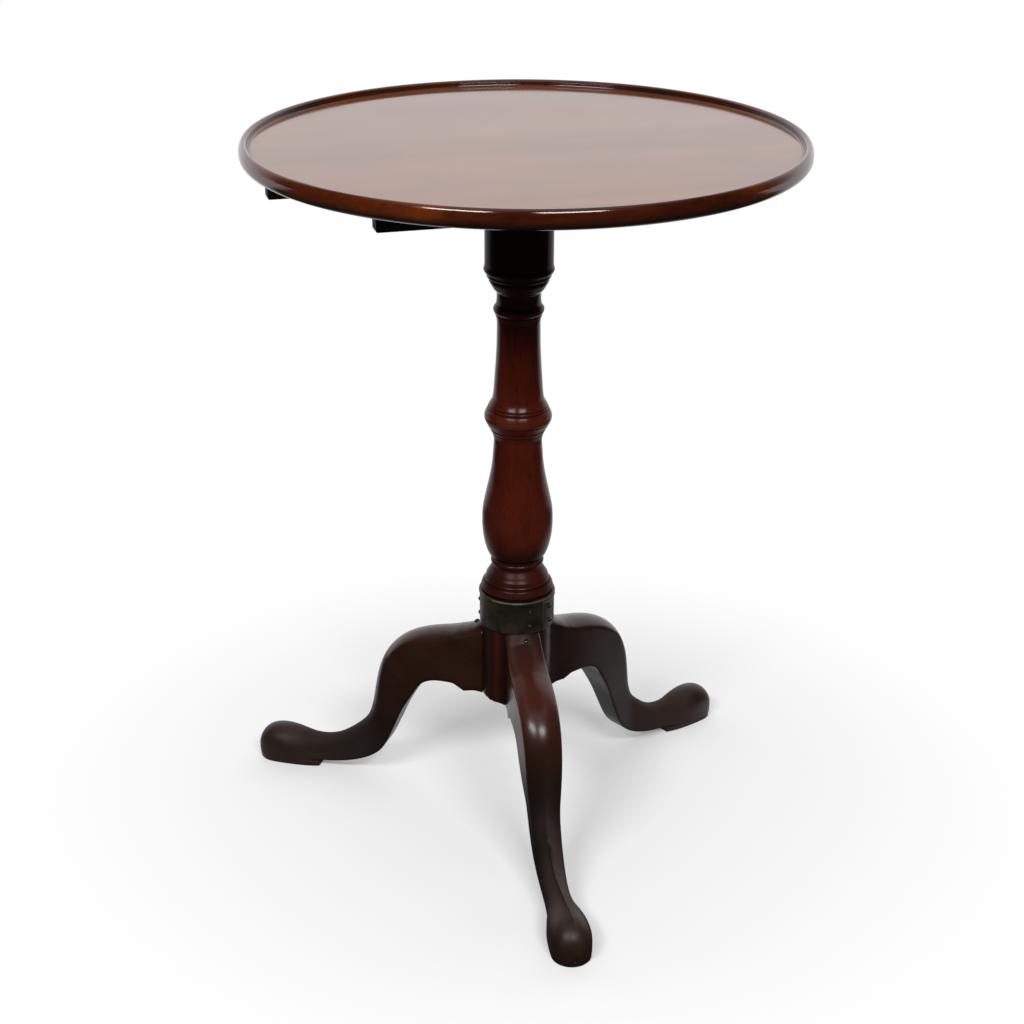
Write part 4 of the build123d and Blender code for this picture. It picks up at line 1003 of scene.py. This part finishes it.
def eased_copy(name, body, material, width, tighter=1.0):
    """A CAD node's own shape with its arrises eased: its triangles are merged in a copy, and a
    bevel rounds each sharp edge. A bearer's rounded lower corners are drawn in towards the
    corner by a share of their distance from it."""
    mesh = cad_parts[name].data.copy()
    merged = bmesh.new()
    merged.from_mesh(mesh)
    bmesh.ops.remove_doubles(merged, verts=merged.verts, dist=ONE_POINT)
    bmesh.ops.dissolve_limit(
        merged, angle_limit=math.radians(1), verts=merged.verts, edges=merged.edges
    )
    merged.to_mesh(mesh)
    merged.free()
    place = np.empty(3 * len(mesh.vertices), np.float32)
    mesh.vertices.foreach_get("co", place)
    place = place.reshape(-1, 3)
    low, high = place.min(0), place.max(0)
    end = np.where(place[:, 0] * 2 < low[0] + high[0], low[0], high[0])
    corner = (np.abs(place[:, 0] - end) < CORNER_REACH) & (place[:, 2] - low[2] < CORNER_REACH)
    share = np.where(corner, tighter, 1.0)
    place[:, 0] = end + (place[:, 0] - end) * share
    place[:, 2] = low[2] + (place[:, 2] - low[2]) * share
    mesh.vertices.foreach_set("co", place.ravel())
    mesh.update()
    mesh.materials.clear()
    mesh.materials.append(material)
    made = linked("eased_" + name, mesh)
    ease = made.modifiers.new("eased arrises", "BEVEL")
    ease.width, ease.segments = width, 3
    ease.limit_method, ease.angle_limit = "ANGLE", math.radians(30)
    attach(made, body)
    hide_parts(name)


eased_copy("bearer_far", "top", shade_dark_bearer_wood, 0.0006, 0.45)
eased_copy("bearer_near", "top", shade_dark_bearer_wood, 0.0006, 0.45)
eased_copy("pivot_block", "base", shade_dark_bearer_wood, 0.0008)

# Finish of each CAD node; those that a piece of the scene replaces aren't seen
PLAIN = {
    "bearer_far": shade_dark_bearer_wood, "bearer_near": shade_dark_bearer_wood, "pivot_block": shade_dark_bearer_wood,
    "pivot_pin_far": shade_dark_bearer_wood, "pivot_pin_near": shade_dark_bearer_wood, "tenon_wedge": shade_dark_bearer_wood,
    "bearer_screws": steel, "collar_nails": nails, "leg_nails": nails, "bolt_plate": brass,
    "bolt_plate_screws": brass, "sliding_bolt": brass, "bolt_knob": brass, "bolt_keeper": brass,
    "keeper_screws": brass,
}
for name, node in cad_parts.items():
    node.data.materials.clear()
    node.data.materials.append(PLAIN.get(name, pillar_wood))


# Floor, room and lamps

# How far in front of the pillar the paper ends, how far it goes back and to each side, in metres
PAPER_END, PAPER_BACK, PAPER_SIDE = -0.85, 9.0, 6.0
PAPER_WHITE, PAPER_DARK = (0.94, 0.94, 0.94), (0.05, 0.05, 0.05)
WHITE = (1.0, 1.0, 1.0)


def turned_to_camera(across, away):
    """Place on the floor, measured from the pillar as the camera sees it: across and away."""
    swing = math.radians(CAMERA_SWING)
    return (
        PILLAR_MIDDLE[0] * MM + across * math.cos(swing) - away * math.sin(swing),
        PILLAR_MIDDLE[1] * MM + across * math.sin(swing) + away * math.cos(swing),
        0.0,
    )


def pale_floor():
    """White paper that takes the table's shadow and ends in front of it. The camera sees it
    white, lifted to plain white away from the table. Reflections find it white behind the table
    and far back, and dark elsewhere, as the room is; it throws back little light."""
    corners = [
        (-PAPER_SIDE, PAPER_END), (PAPER_SIDE, PAPER_END),
        (PAPER_SIDE, PAPER_BACK), (-PAPER_SIDE, PAPER_BACK),
    ]
    mesh = bpy.data.meshes.new("floor")
    mesh.from_pydata([turned_to_camera(*c) for c in corners], [], [(0, 1, 2, 3)])
    floor = linked("floor", mesh)
    f = Finish("pale floor")
    seen = f.place(turn=(0, 0, math.radians(-CAMERA_SWING)))
    where = f.node("SeparateXYZ", {0: seen}).outputs
    away = f.node("VectorMath", {0: f.place((1, 1, 0))}, operation="LENGTH").outputs["Value"]
    path = f.node("LightPath").outputs
    middle = f.span(f.calc("ABSOLUTE", where["X"]), 0.28, 0.66, 1.0, 0.0)
    behind = f.calc("MULTIPLY", f.span(where["Y"], -0.05, 0.22), middle)
    pale = f.calc("MAXIMUM", behind, f.span(where["Y"], 0.60, 1.10))
    thrown = f.span(path["Is Glossy Ray"], 0.0, 1.0, 0.35, 0.0)
    plain = f.calc("MAXIMUM", path["Is Camera Ray"], thrown)
    f.set(
        Base_Color=f.blend(f.calc("MAXIMUM", pale, plain), PAPER_DARK, PAPER_WHITE),
        Roughness=0.9, Specular_IOR_Level=0.0,
    )
    mirrored = f.calc("MULTIPLY", path["Is Glossy Ray"], pale)
    lift = f.calc(
        "MAXIMUM",
        f.calc("MULTIPLY", f.span(away, 0.26, 0.62, 0.22, 1.0), path["Is Camera Ray"]),
        f.calc("MULTIPLY", f.span(away, 0.60, 1.20), mirrored),
    )
    white = f.node("Emission", {"Color": WHITE, "Strength": 1.0}).outputs[0]
    mix = f.node("MixShader", {0: lift, 1: f.shader.outputs[0], 2: white})
    f.tree.links.new(mix.outputs[0], f.out.inputs["Surface"])
    mesh.materials.append(f.made)


def studio():
    """The room: white behind the table and above it, dark on the camera's side, as the drum's
    reflections show; a ray straight from the camera sees plain white."""
    f = Finish("studio", room=True)
    way = f.node("TexCoord").outputs["Generated"]
    turn = (0, 0, math.radians(-CAMERA_SWING))
    way = f.node("Mapping", {"Vector": way, "Rotation": turn}).outputs[0]
    way = f.node("SeparateXYZ", {0: way}).outputs
    behind = f.span(way["Y"], 0.25, 0.75, 0.04, 1.2)
    above = f.span(way["Z"], 0.72, 0.97, 0.0, 0.8)
    seen = f.node("LightPath").outputs["Is Camera Ray"]
    f.set(Color=WHITE, Strength=f.calc("MAXIMUM", f.calc("MAXIMUM", behind, above), seen))
    bpy.context.scene.world = f.made


# Lamps: width and height in metres, power in watts, height angle, distance, and where they aim
LAMP_SIZE, LAMP_POWER = (1.5, 0.6), 74
LAMP_RISE, LAMP_DISTANCE = math.radians(40), 4.0
LAMP_AIM = (0, 0.015, 0.45)


def softbox(name, azimuth):
    """Soft wide lamp, aimed at the table from so many degrees beside the camera."""
    lamp = bpy.data.lights.new(name, "AREA")
    lamp.shape = "RECTANGLE"
    lamp.size, lamp.size_y = LAMP_SIZE
    lamp.energy = LAMP_POWER
    hung = linked(name, lamp)
    turn = math.radians(azimuth - 90 + CAMERA_SWING)
    level = math.cos(LAMP_RISE)
    side = Vector((math.cos(turn) * level, math.sin(turn) * level, math.sin(LAMP_RISE)))
    hung.location = Vector(LAMP_AIM) + side * LAMP_DISTANCE
    hung.rotation_euler = (-side).to_track_quat("-Z", "Y").to_euler()


pale_floor()
studio()
softbox("softbox_left", -29)
softbox("softbox_right", 19)

bpy.context.scene.view_settings.view_transform = "Standard"
